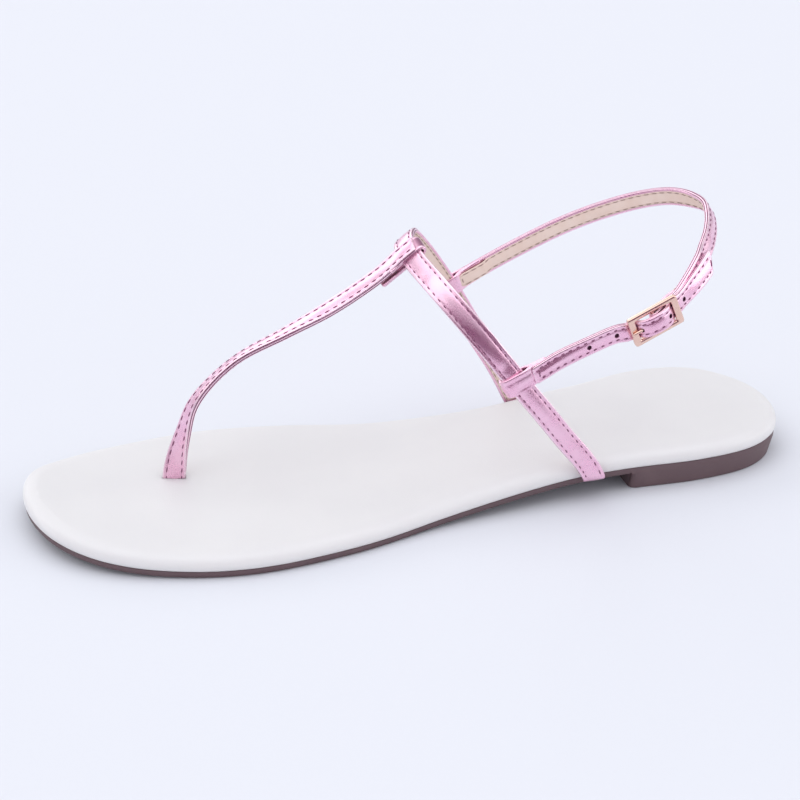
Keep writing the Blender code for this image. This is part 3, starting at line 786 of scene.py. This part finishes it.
def sew_face(name, strap, seams):
    """Plum stitches lying in the grooves of the leather's face, or over its crown where the seam turns."""
    def out(along, across):
        share = np.clip(np.abs(across) / (strap.half(along) - FACE_INSET), 0.0, 1.0)
        rise = np.where(share < 0.95, 0.02 + strap.crown(along) * (1 - share ** 2), -SEAM_GROOVE)
        return strap.thickness(along) / 2 + rise + strap.relief(along, across) + STITCH_LIFT
    sew(name, strap, seams, out, plum_thread, THREAD_RADIUS)


def sew_lining(name, strap, seams, covers=()):
    """Finer brown stitches, the same seam seen on the lining."""
    def out(along, across):
        return lining_depth(strap, along, covers) - LINING_THICKNESS / 2
    sew(name, strap, seams, out, brown_thread, LINING_THREAD_RADIUS)


side_strap = Strap(SIDE_STRAP, SIDE_STRAP_WIDTH, -1)
side_strap.sewn, side_strap.crowns, side_strap.creases = SIDE_SEWN, SIDE_CROWNS, SIDE_CREASES
face_leather("side_strap", side_strap, END_TRIM, side_strap.along[-1] - END_TRIM)
lining_strip("side_strap_lining", side_strap, *SIDE_LINED)
sew_face("side_strap_stitches", side_strap, seam_rows(side_strap, SIDE_SEWN))
lining_seam = seam_rows(side_strap, SIDE_SEWN, length=LINING_STITCH_LENGTH)
sew_lining("side_strap_lining_stitches", side_strap, lining_seam)


# Thong: a narrower strap of the same make. It stands up from its slot between the first toes, twists
# to lie flat, and ends in a thin unlined tongue that loops round the side strap and is glued back under.
STRAP_WIDTH = 6.0
INSTEP_ACROSS = (-0.06, 0.975, -0.21)


class Seat:
    """A local frame where straps cross: places are given along the strap and outwards from the foot."""

    def __init__(self, origin, along, out):
        self.origin = np.array(origin)
        self.along = np.array(along) / np.linalg.norm(along)
        flat = np.array(out) - np.dot(out, self.along) * self.along
        self.out = flat / np.linalg.norm(flat)
        self.across = np.cross(self.out, self.along)
        if self.across[2] < 0:
            self.across = -self.across

    def lay(self, across, thick, *steps):
        """Rows of a strap's route from its steps along and outwards."""
        places = [tuple(self.origin + along * self.along + out * self.out) for along, out in steps]
        return lay(across, thick, *places)


INSTEP = Seat((0.3, -3.0, 77.3), (-0.81, 0.0, 0.59), (0.57, 0.18, 0.80))
THONG_STRAP = [
    *lay(POST_ACROSS, STRAP_THICKNESS, (74.6, -13.0, 3.2), (74.5, -13.0, 7.0)),
    *lay((-0.80, 0.60, 0.0), STRAP_THICKNESS, (73.3, -12.9, 14.2)),
    *lay((-0.42, 0.91, 0.0), STRAP_THICKNESS, (71.0, -12.7, 22.1)),
    *lay((-0.06, 1.0, 0.0), STRAP_THICKNESS, (67.9, -12.2, 31.0)),
    *lay((0.20, 0.98, 0.0), STRAP_THICKNESS, (62.4, -11.5, 38.3)),
    *lay((0.25, 0.96, 0.10), STRAP_THICKNESS, (53.1, -10.2, 46.3)),
    *lay((0.05, 1.0, 0.05), STRAP_THICKNESS, (38.3, -8.3, 53.7)),
    *lay(INSTEP_ACROSS, STRAP_THICKNESS, (24.0, -6.4, 61.3), (9.4, -4.4, 71.0)),
    *INSTEP.lay(INSTEP_ACROSS, STRAP_THICKNESS, (-2.5, 1.7), (1.0, 1.75), (3.6, 1.7)),
]
THONG_TONGUE = [
    *INSTEP.lay(INSTEP_ACROSS, TONGUE_THICKNESS,
                (-8.0, 0.9), (-2.5, 1.1), (2.2, 1.2), (3.8, 1.15), (4.5, 0.75), (4.75, 0.0), (4.5, -0.8),
                (3.8, -1.25), (-3.5, -1.35)),
    *lay(INSTEP_ACROSS, TONGUE_THICKNESS, (9.3, -4.3, 68.4)),
]
THONG_TONGUE_NARROWER = 0.3
THONG_LINED = (0.5, 106.0)
THONG_SEAM_MARGINS = (2.0, 1.0)
THONG_LINING_SEAM_MARGIN = 1.2
THONG_STITCH_PITCH = 2.9
THONG_STITCH_LENGTH = 1.8
THONG_CORNER = 0.8
THONG_END_SLANT = -0.15
# Painted shade where the tongue bends round the side strap.
THONG_TONGUE_PAINTED_FOLD_SHADES = [(12.4, 1.6, 0.8)]
THONG_FLARES = [(0.0, 0.65), (6.0, 0.6), (14.0, 0.1), (20.0, 0.0)]
THONG_CREASES = [(27.0, 0.9, 1.8, 2.0, 0.15), (40.0, -0.8, 2.4, 1.8, 0.15), (63.0, 0.6, 2.2, 2.4, 0.12)]

thong = Strap(THONG_STRAP, STRAP_WIDTH, -1, THONG_END_SLANT)
thong_end = thong.along[-1] - END_TRIM
thong_sewn = (THONG_SEAM_MARGINS[0], thong_end - THONG_SEAM_MARGINS[1])
thong.sewn, thong.creases, thong.flares = thong_sewn, THONG_CREASES, THONG_FLARES
face_leather("thong", thong, 0.0, thong_end, THONG_CORNER)
thong_tongue = Strap(THONG_TONGUE, STRAP_WIDTH - THONG_TONGUE_NARROWER, -1)
thong_tongue.painted_fold_shades = THONG_TONGUE_PAINTED_FOLD_SHADES
face_leather("thong_tongue", thong_tongue, 0.0, thong_tongue.along[-1])
lining_strip("thong_lining", thong, *THONG_LINED)
thong_seam = seam_rows(thong, thong_sewn, pitch=THONG_STITCH_PITCH, length=THONG_STITCH_LENGTH)
sew_face("thong_stitches", thong, thong_seam)
lining_seam = seam_rows(thong, (thong_sewn[0], THONG_LINED[1] - THONG_LINING_SEAM_MARGIN), (False, True),
                        THONG_STITCH_PITCH, THONG_STITCH_LENGTH)
sew_lining("thong_lining_stitches", thong, lining_seam)


# Front ankle strap: it loops round the outer leg of the side strap with a thin tongue tucked under its
# lining, and runs back through the buckle. Its free end is squared and sewn, and has punched holes.
ANKLE_UP = (0.29, 0.0, 0.957)
BILLET_UP = (0.29, 0.09, 0.955)
FOLD_UP = (0.47, -0.05, 0.87)
OUTER_LEG = Seat((-24.4, 27.9, 44.4), (-0.91, 0.03, 0.41), (0, 1, 0))
BUCKLE = Seat((-68.1, 29.6, 59.7), (-0.93, -0.07, 0.36), (0, 1, 0))
BUCKLED_THICKNESS = 1.3
GLUED_THICKNESS = 1.3
FRONT_TONGUE = [
    *OUTER_LEG.lay(ANKLE_UP, TONGUE_THICKNESS, (10.8, -0.2), (7.6, -0.25)),
    *OUTER_LEG.lay(ANKLE_UP, GLUED_THICKNESS, (5.0, -0.42), (4.2, -0.82)),
    *OUTER_LEG.lay(ANKLE_UP, TONGUE_THICKNESS, (3.3, -1.25)),
    *OUTER_LEG.lay(FOLD_UP, TONGUE_THICKNESS,
                   (-3.3, -1.3), (-4.2, -0.9), (-4.6, 0.0), (-4.2, 0.9), (-3.3, 1.3)),
    *OUTER_LEG.lay(ANKLE_UP, TONGUE_THICKNESS, (3.2, 1.32)),
    *OUTER_LEG.lay(ANKLE_UP, GLUED_THICKNESS, (4.2, 0.95), (5.2, 0.60)),
    *OUTER_LEG.lay(ANKLE_UP, TONGUE_THICKNESS, (10.5, 0.4)),
]
FRONT_ANKLE_STRAP = [
    *OUTER_LEG.lay(ANKLE_UP, STRAP_THICKNESS, (5.0, 1.25), (8.0, 0.95)),
    *lay(ANKLE_UP, STRAP_THICKNESS, (-37.3, 28.8, 50.3)),
    *lay(BILLET_UP, STRAP_THICKNESS, (-46.7, 28.6, 53.6), (-55.6, 28.4, 56.2)),
    *BUCKLE.lay(BUCKLE.across, STRAP_THICKNESS, (-8.8, -1.95)),
    *BUCKLE.lay(BUCKLE.across, BUCKLED_THICKNESS,
                (-6.6, -1.6), (-5.6, -0.2), (-4.4, 1.3), (-2.4, 2.1), (0.0, 2.3), (2.4, 2.1), (4.4, 1.2),
                (5.6, -0.3), (6.7, -1.7)),
    *BUCKLE.lay(BUCKLE.across, STRAP_THICKNESS, (8.8, -2.2)),
    *lay(ANKLE_UP, STRAP_THICKNESS, (-79.3, 24.4, 63.8)),
    *lay((0.40, -0.24, 0.88), STRAP_THICKNESS, (-86.0, 20.3, 67.3)),
    *lay((0.47, -0.34, 0.81), STRAP_THICKNESS, (-93.4, 14.2, 70.9)),
]
FRONT_COVERS = [(0.0, 1.95), (2.6, 1.35), (6.0, 1.05), (9.2, 0.0)]
FRONT_CROWNS = [(0.0, 3.0), (6.0, 2.8), (14.0, 1.9), (24.0, 1.0), (80.0, 1.0)]
FRONT_CREASES = [
    (29.5, 0.0, 1.3, 4.0, 0.16), (33.8, 0.6, 0.9, 3.5, 0.14), (55.5, -0.6, 1.2, 3.2, 0.15),
    (63.0, 1.0, 2.2, 1.8, 0.12),
]
# Painted shade where the strap rises out from under the buckle's two outer bars.
FRONT_PAINTED_FOLD_SHADES = [(36.3, 1.0, 0.8), (50.0, 0.9, 0.7)]
FRONT_TONGUE_WIDER = 0.35
FRONT_TONGUE_CROWNS = [(0.0, 4.0), (40.0, 4.0)]
FRONT_TONGUE_CREASES = [(23.0, -1.9, 2.6, 0.6, 0.22), (20.0, 0.3, 1.2, 1.2, 0.10)]
FRONT_END_SLANT = 0.87
FRONT_END_TRIM = 1.6
FRONT_CORNER = 1.2
FRONT_LINING_TRIM = 0.3
FRONT_SEAM_MARGINS = (1.7, 1.4)
HOLE_FIRST = 19.2
HOLE_PITCH = 9.4
HOLE_COUNT = 5
HOLE_RADIUS = 0.75
PUNCH_LENGTH = 5.0
PUNCH_SIDES = 24
RAW_PLUM = (0.05, 0.012, 0.03, 1.0)

raw_edge, place = new_finish("raw_leather_edge", {"Specular IOR Level": 0.2})
fibre = noise(place, 0.2, 3.0)
feed(raw_edge, {
    "Base Color": mix(fibre, RAW_PLUM, PLUM),
    "Roughness": 0.7 + fibre * 0.2,
    "Normal": bump(fibre, 0.04, 0.7),
})


def hole_punch(strap, along):
    """A round punch standing square on the strap, to cut one adjustment hole."""
    bm = bmesh.new()
    bmesh.ops.create_cone(bm, cap_ends=True, segments=PUNCH_SIDES, radius1=HOLE_RADIUS * MM,
                          radius2=HOLE_RADIUS * MM, depth=PUNCH_LENGTH * MM)
    punch = add_cutter("hole_punch", bm)
    punch.data.materials.append(raw_edge)
    middle, outside = strap.spot(np.array([along, along]), np.zeros(2), np.array([0.0, 1.0]))
    punch.location = Vector(middle) * MM
    punch.rotation_euler = Vector(outside - middle).to_track_quat("Z", "Y").to_euler()
    return punch


front = Strap(FRONT_ANKLE_STRAP, STRAP_WIDTH, 1, FRONT_END_SLANT)
front_end = front.along[-1] - FRONT_END_TRIM
front_sewn = (FRONT_SEAM_MARGINS[0], front_end - FRONT_SEAM_MARGINS[1])
front.sewn, front.crowns, front.creases, front.painted_fold_shades = front_sewn, FRONT_CROWNS, FRONT_CREASES, FRONT_PAINTED_FOLD_SHADES
front_tongue = Strap(FRONT_TONGUE, STRAP_WIDTH + FRONT_TONGUE_WIDER, 1)
front_tongue.crowns, front_tongue.creases = FRONT_TONGUE_CROWNS, FRONT_TONGUE_CREASES
face_leather("front_ankle_tongue", front_tongue, 0.0, front_tongue.along[-1])
front_face = face_leather("front_ankle_strap", front, 0.0, front_end, FRONT_CORNER)
front_lining = lining_strip("front_ankle_strap_lining", front, FRONT_LINING_TRIM,
                            front_end - FRONT_LINING_TRIM, FRONT_COVERS)
for layer in (front_face, front_lining):
    layer.data.materials.append(raw_edge)
    for k in range(HOLE_COUNT):
        cut_out(layer, hole_punch(front, HOLE_FIRST + k * HOLE_PITCH))
sew_face("front_ankle_strap_stitches", front, seam_rows(front, front_sewn, (True, True)))
lining_seam = seam_rows(front, front_sewn, (True, True), length=LINING_STITCH_LENGTH)
sew_lining("front_ankle_strap_lining_stitches", front, lining_seam, FRONT_COVERS)


# Rear ankle strap: it folds round the buckle's centre bar, runs behind the heel, and loops round the
# inner leg of the side strap. Both tongues are tucked under its tan lining, which shows from in front.
HEEL_UP = (0.50, -0.10, 0.86)
FOLD_THICKNESS = 0.7
INNER_LEG = Seat((-20.5, -27.4, 53.1), (0.90, 0.0, -0.43), (0, -1, 0))
REAR_ANKLE_STRAP = [
    *BUCKLE.lay(BUCKLE.across, TONGUE_THICKNESS, (11.0, -5.6), (7.0, -4.7), (3.4, -2.5)),
    *BUCKLE.lay(BUCKLE.across, FOLD_THICKNESS,
                (0.5, -1.15), (-0.7, -0.75), (-1.05, 0.0), (-0.7, 0.75), (0.4, 1.0), (2.4, 0.1)),
    *BUCKLE.lay(BUCKLE.across, TONGUE_THICKNESS, (4.6, -1.7)),
    *BUCKLE.lay(BUCKLE.across, STRAP_THICKNESS, (7.5, -3.7), (10.5, -4.6)),
    *lay(ANKLE_UP, STRAP_THICKNESS, (-87.6, 15.8, 69.9)),
    *lay(HEEL_UP, STRAP_THICKNESS,
         (-92.3, 10.3, 71.9), (-96.6, 4.0, 73.8), (-100.2, -3.5, 76.0), (-101.4, -9.0, 77.8),
         (-99.9, -14.8, 78.3)),
    *lay(ANKLE_UP, STRAP_THICKNESS,
         (-94.0, -20.6, 78.3), (-86.5, -24.8, 76.7), (-75.0, -28.2, 73.4), (-60.0, -29.4, 68.9),
         (-40.0, -29.2, 61.3)),
    *INNER_LEG.lay(ANKLE_UP, STRAP_THICKNESS, (-7.5, 0.5)),
    *INNER_LEG.lay(ANKLE_UP, BUCKLED_THICKNESS, (-4.8, 0.98)),
    *INNER_LEG.lay(ANKLE_UP, TONGUE_THICKNESS,
                   (-3.2, 1.3), (3.3, 1.3), (4.2, 0.9), (4.6, 0.0), (4.2, -0.9), (3.3, -1.3),
                   (-3.4, -1.22)),
    *INNER_LEG.lay(ANKLE_UP, GLUED_THICKNESS, (-4.5, -0.55), (-5.6, -0.25)),
    *INNER_LEG.lay(ANKLE_UP, TONGUE_THICKNESS, (-7.6, -0.10), (-11.0, 0.1), (-13.0, 0.25)),
]
REAR_LINED = (23.4, 161.9)
REAR_COVERS = [
    (15.0, 1.7), (24.0, 1.0), (28.5, 1.0), (32.0, 0.0),
    (150.2, 0.0), (153.2, 0.95), (157.5, 1.0), (163.0, 2.1),
]
REAR_SEWN = (25.6, 160.4)
REAR_CREASES = [
    (34.0, 0.8, 1.8, 2.2, 0.14), (58.0, -0.8, 2.4, 2.0, 0.14), (72.0, 0.7, 2.4, 2.0, 0.14),
    (150.0, 0.0, 1.4, 3.5, 0.12),
]

rear = Strap(REAR_ANKLE_STRAP, STRAP_WIDTH, 1)
rear.sewn, rear.creases = REAR_SEWN, REAR_CREASES
face_leather("rear_ankle_strap", rear, 0.0, rear.along[-1])
lining_strip("rear_ankle_strap_lining", rear, *REAR_LINED, REAR_COVERS)
sew_face("rear_ankle_strap_stitches", rear, seam_rows(rear, REAR_SEWN, (True, True)))
lining_seam = seam_rows(rear, REAR_SEWN, (True, True), length=LINING_STITCH_LENGTH)
sew_lining("rear_ankle_strap_lining_stitches", rear, lining_seam, REAR_COVERS)


# Buckle: a cast frame with a centre bar and a bent wire prong, polished and plated in pale rose gold.
# The prong turns on the centre bar, comes up through a hole and rests on the front bar.
BUCKLE_OUTER = (17.3, 10.0, 0.8)
BUCKLE_OPENING = (12.9, 7.0, 0.5)
BUCKLE_BAR_WIDTH = 1.85
BUCKLE_THICKNESS = 1.6
BUCKLE_EDGE = 0.35
EDGE_TURN = 0.3
FACE_RISE = 0.04
FACE_DROP = 0.02
CORNER_POINTS = 8
CENTRE_BAR_RADIUS = 0.6
CENTRE_BAR_HALF = 4.3
BAR_RINGS, BAR_SIDES = 9, 20
PRONG_RADIUS = 0.5
PRONG_TAPER = (2.0, 0.35)
PRONG_END_ROUNDING = (0.5, 0.9)
PRONG_RINGS, PRONG_SIDES = 60, 16
PRONG = [
    (1.0, -0.7), (0.0, -1.15), (-1.1, -0.75), (-2.6, 0.2), (-4.2, 0.85), (-5.4, 1.2),
    (-6.6, 1.36), (-8.6, 1.32),
]
ROSE_GOLD = (0.90, 0.66, 0.57, 1.0)
ROSE_GOLD_DEEP = (0.82, 0.53, 0.43, 1.0)

gold, place = new_finish("rose_gold_plate", {"Metallic": 1.0})
cloud = noise(place, 2.5, 3.0)
rub = noise(place, 0.15, 2.0)
feed(gold, {
    "Base Color": mix(cloud * 0.6 + rub * 0.2, ROSE_GOLD, ROSE_GOLD_DEEP),
    "Roughness": 0.17 + cloud * 0.06 + rub * 0.03,
    "Normal": bump(cloud, 0.01, 0.3),
})
buckle_axes = Matrix((BUCKLE.along, BUCKLE.across, np.cross(BUCKLE.along, BUCKLE.across))).transposed()
buckle_seat = Matrix.Translation(Vector(BUCKLE.origin) * MM) @ buckle_axes.to_4x4()


def round_oblong(length, width, radius):
    """Points round an oblong with rounded corners."""
    turn = np.linspace(0.0, math.pi / 2, CORNER_POINTS)
    middle = (length / 2 - radius, width / 2 - radius)
    corner = radius * np.column_stack([np.cos(turn), np.sin(turn)]) + middle
    flip = corner[::-1] * (-1, 1)
    return np.concatenate([corner, flip, -corner, -flip])


outer, opening = round_oblong(*BUCKLE_OUTER), round_oblong(*BUCKLE_OPENING)
bevel = BUCKLE_EDGE / BUCKLE_BAR_WIDTH
half = BUCKLE_THICKNESS / 2
turned = half - BUCKLE_EDGE * EDGE_TURN
frame_section = [
    (0.0, BUCKLE_EDGE - half), (bevel * EDGE_TURN, -turned), (bevel, -half), (1 - bevel, -half),
    (1 - bevel * EDGE_TURN, -turned), (1.0, BUCKLE_EDGE - half), (1.0, half - BUCKLE_EDGE),
    (1 - bevel * EDGE_TURN, turned), (1 - bevel, half - FACE_DROP), (0.5, half + FACE_RISE),
    (bevel, half - FACE_DROP), (bevel * EDGE_TURN, turned), (0.0, half - BUCKLE_EDGE),
]
points, faces, loops = [], [], []
for share, height in frame_section:
    ring = outer * (1 - share) + opening * share
    loops.append(add_ring(points, np.column_stack([ring, np.full(len(ring), height)])))
join_rings(faces, loops + loops[:1])
bar_turn = np.linspace(0.0, 2 * math.pi, BAR_SIDES, endpoint=False)
bar_x, bar_z = CENTRE_BAR_RADIUS * np.cos(bar_turn), CENTRE_BAR_RADIUS * np.sin(bar_turn)
add_tube(points, faces, [np.column_stack([bar_x, np.full(BAR_SIDES, y), bar_z])
                         for y in np.linspace(-CENTRE_BAR_HALF, CENTRE_BAR_HALF, BAR_RINGS)])
buckle_frame = add_piece("buckle_cast_frame", points, faces, gold)
buckle_frame.data.transform(buckle_seat)
buckle_frame.data.set_sharp_from_angle(angle=SHARP_FROM)
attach(buckle_frame, "root")
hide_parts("buckle_frame")

wire = Strap([((along, 0.0, out), (0, 1, 0), 1.0) for along, out in PRONG], 2 * PRONG_RADIUS, 1)
wire_stations = np.linspace(0.0, wire.along[-1], PRONG_RINGS)
taper_length, taper = PRONG_TAPER
to_tip = np.clip((wire_stations - wire.along[-1] + taper_length) / taper_length, 0, 1)
wire_radius = PRONG_RADIUS * (1.0 - to_tip ** 2 * taper)
wire_radius[[0, -1]] *= PRONG_END_ROUNDING[0]
wire_radius[[1, -2]] *= PRONG_END_ROUNDING[1]
wire_turn = np.linspace(0.0, 2 * math.pi, PRONG_SIDES, endpoint=False)
rings = wire.spot(np.broadcast_to(wire_stations[:, None], (PRONG_RINGS, PRONG_SIDES)),
                  wire_radius[:, None] * np.cos(wire_turn), wire_radius[:, None] * np.sin(wire_turn))
points, faces = [], []
add_tube(points, faces, rings)
buckle_prong = add_piece("buckle_wire_prong", points, faces, gold)
buckle_prong.data.transform(buckle_seat)
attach(buckle_prong, "root")
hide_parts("buckle_prong")


# Studio: a wide pale floor in a white room whose ceiling and walls give most of the light, one soft light
# from the toe's side, and a long lens on the sandal's outer side. A dark card leans below the lens,
# outside the picture, and shows only in what shines.
FLOOR_SIZE = 12.0
FLOOR_PALE = (0.702, 0.718, 0.775, 1.0)
FLOOR_SHADE = (0.692, 0.708, 0.765, 1.0)
CAMERA_PLACE = (0.20645, 0.64133, 0.36464)
CAMERA_AIM = (-0.00141, -0.01792, 0.020)
CAMERA_LENS = 108.0
CAMERA_SIDE = (0.30, 0.954)
HEEL_SIDE = (-0.93, 0.37)
BACK_SIDE = (0.42, -0.91)
KEY_FROM = (0.80, 0.22, 0.58)
KEY_STRENGTH = 0.40
KEY_SPREAD = math.radians(45)
WALL_LIGHT = (0.49, 0.50, 0.52, 1.0)
BRIGHT_WALLS = [
    (CAMERA_SIDE, (0.20, 0.62), (0.60, 0.40), (1.04, 1.05, 1.12, 1.0)),
    (HEEL_SIDE, (0.70, 0.90), (0.04, 0.18), (2.00, 2.00, 2.02, 1.0)),
    (BACK_SIDE, (0.62, 0.82), (0.12, 0.28), (1.95, 1.95, 1.97, 1.0)),
]
CEILING_SPAN = (0.66, 0.90)
CEILING_LIGHT = (1.64, 1.64, 1.68, 1.0)
CARD_FOOT = (0.21, 0.45, 0.003)
CARD_TOP = (0.62, 0.62, 0.40)
CARD_PLUM = (0.12, 0.030, 0.085, 1.0)
CARD_WORN = (0.16, 0.045, 0.115, 1.0)

paper, place = new_finish("pale_floor", {"Specular IOR Level": 0.2})
tooth = noise(place, 1.5, 3.0)
feed(paper, {
    "Base Color": mix(tooth, FLOOR_PALE, FLOOR_SHADE),
    "Roughness": 0.75 + tooth * 0.1,
})
floor_half = FLOOR_SIZE / 2 / MM
floor_corners = [(x * floor_half, y * floor_half, 0.0) for x, y in [(-1, -1), (1, -1), (1, 1), (-1, 1)]]
floor = add_piece("floor", floor_corners, [(0, 1, 2, 3)], paper)

felt, place = new_finish("dark_card", {"Specular IOR Level": 0.0})
fibre = noise(place, 2.0, 3.0)
feed(felt, {"Base Color": mix(fibre, CARD_PLUM, CARD_WORN), "Roughness": 0.9 + fibre * 0.1})
ahead, aside = np.array((*CAMERA_SIDE, 0.0)), np.array((CAMERA_SIDE[1], -CAMERA_SIDE[0], 0.0))
card_edges = [(CARD_FOOT, -1), (CARD_FOOT, 1), (CARD_TOP, 1), (CARD_TOP, -1)]
card_corners = [(away * ahead + half_width * side * aside + (0.0, 0.0, height)) / MM
                for (away, half_width, height), side in card_edges]
card = add_piece("dark_card", card_corners, [(0, 1, 2, 3)], felt)
card.visible_camera = card.visible_diffuse = card.visible_transmission = card.visible_shadow = False


def aim(thing, target):
    """Turn a light or camera to look at a place."""
    thing.rotation_euler = (Vector(target) - thing.location).to_track_quat("-Z", "Y").to_euler()


key = bpy.data.objects.new("key_light", bpy.data.lights.new("key_light", "SUN"))
key.data.energy = KEY_STRENGTH
key.data.angle = KEY_SPREAD
key.location = KEY_FROM
aim(key, (0.0, 0.0, 0.0))
bpy.context.scene.collection.objects.link(key)

world = bpy.data.worlds.new("studio")
world.use_nodes = True
sky = Shade(world.node_tree)
direction = sky.node("ShaderNodeTexCoord", output="Generated")
x, y, rise = (sky.node("ShaderNodeSeparateXYZ", {}, {0: direction}, output=k) for k in range(3))
light = WALL_LIGHT
for side, span, heights, bright in BRIGHT_WALLS:
    share = ramp(x * side[0] + y * side[1], *span) * ramp(rise, *heights)
    light = mix(share, light, bright)
light = mix(ramp(rise, *CEILING_SPAN), light, CEILING_LIGHT)
world.node_tree.links.new(light.socket, world.node_tree.nodes["Background"].inputs["Color"])
bpy.context.scene.world = world
bpy.context.scene.view_settings.view_transform = "Standard"

camera = bpy.data.objects.new("camera", bpy.data.cameras.new("camera"))
camera.data.lens = CAMERA_LENS
camera.location = CAMERA_PLACE
aim(camera, CAMERA_AIM)
bpy.context.scene.collection.objects.link(camera)
bpy.context.scene.camera = camera
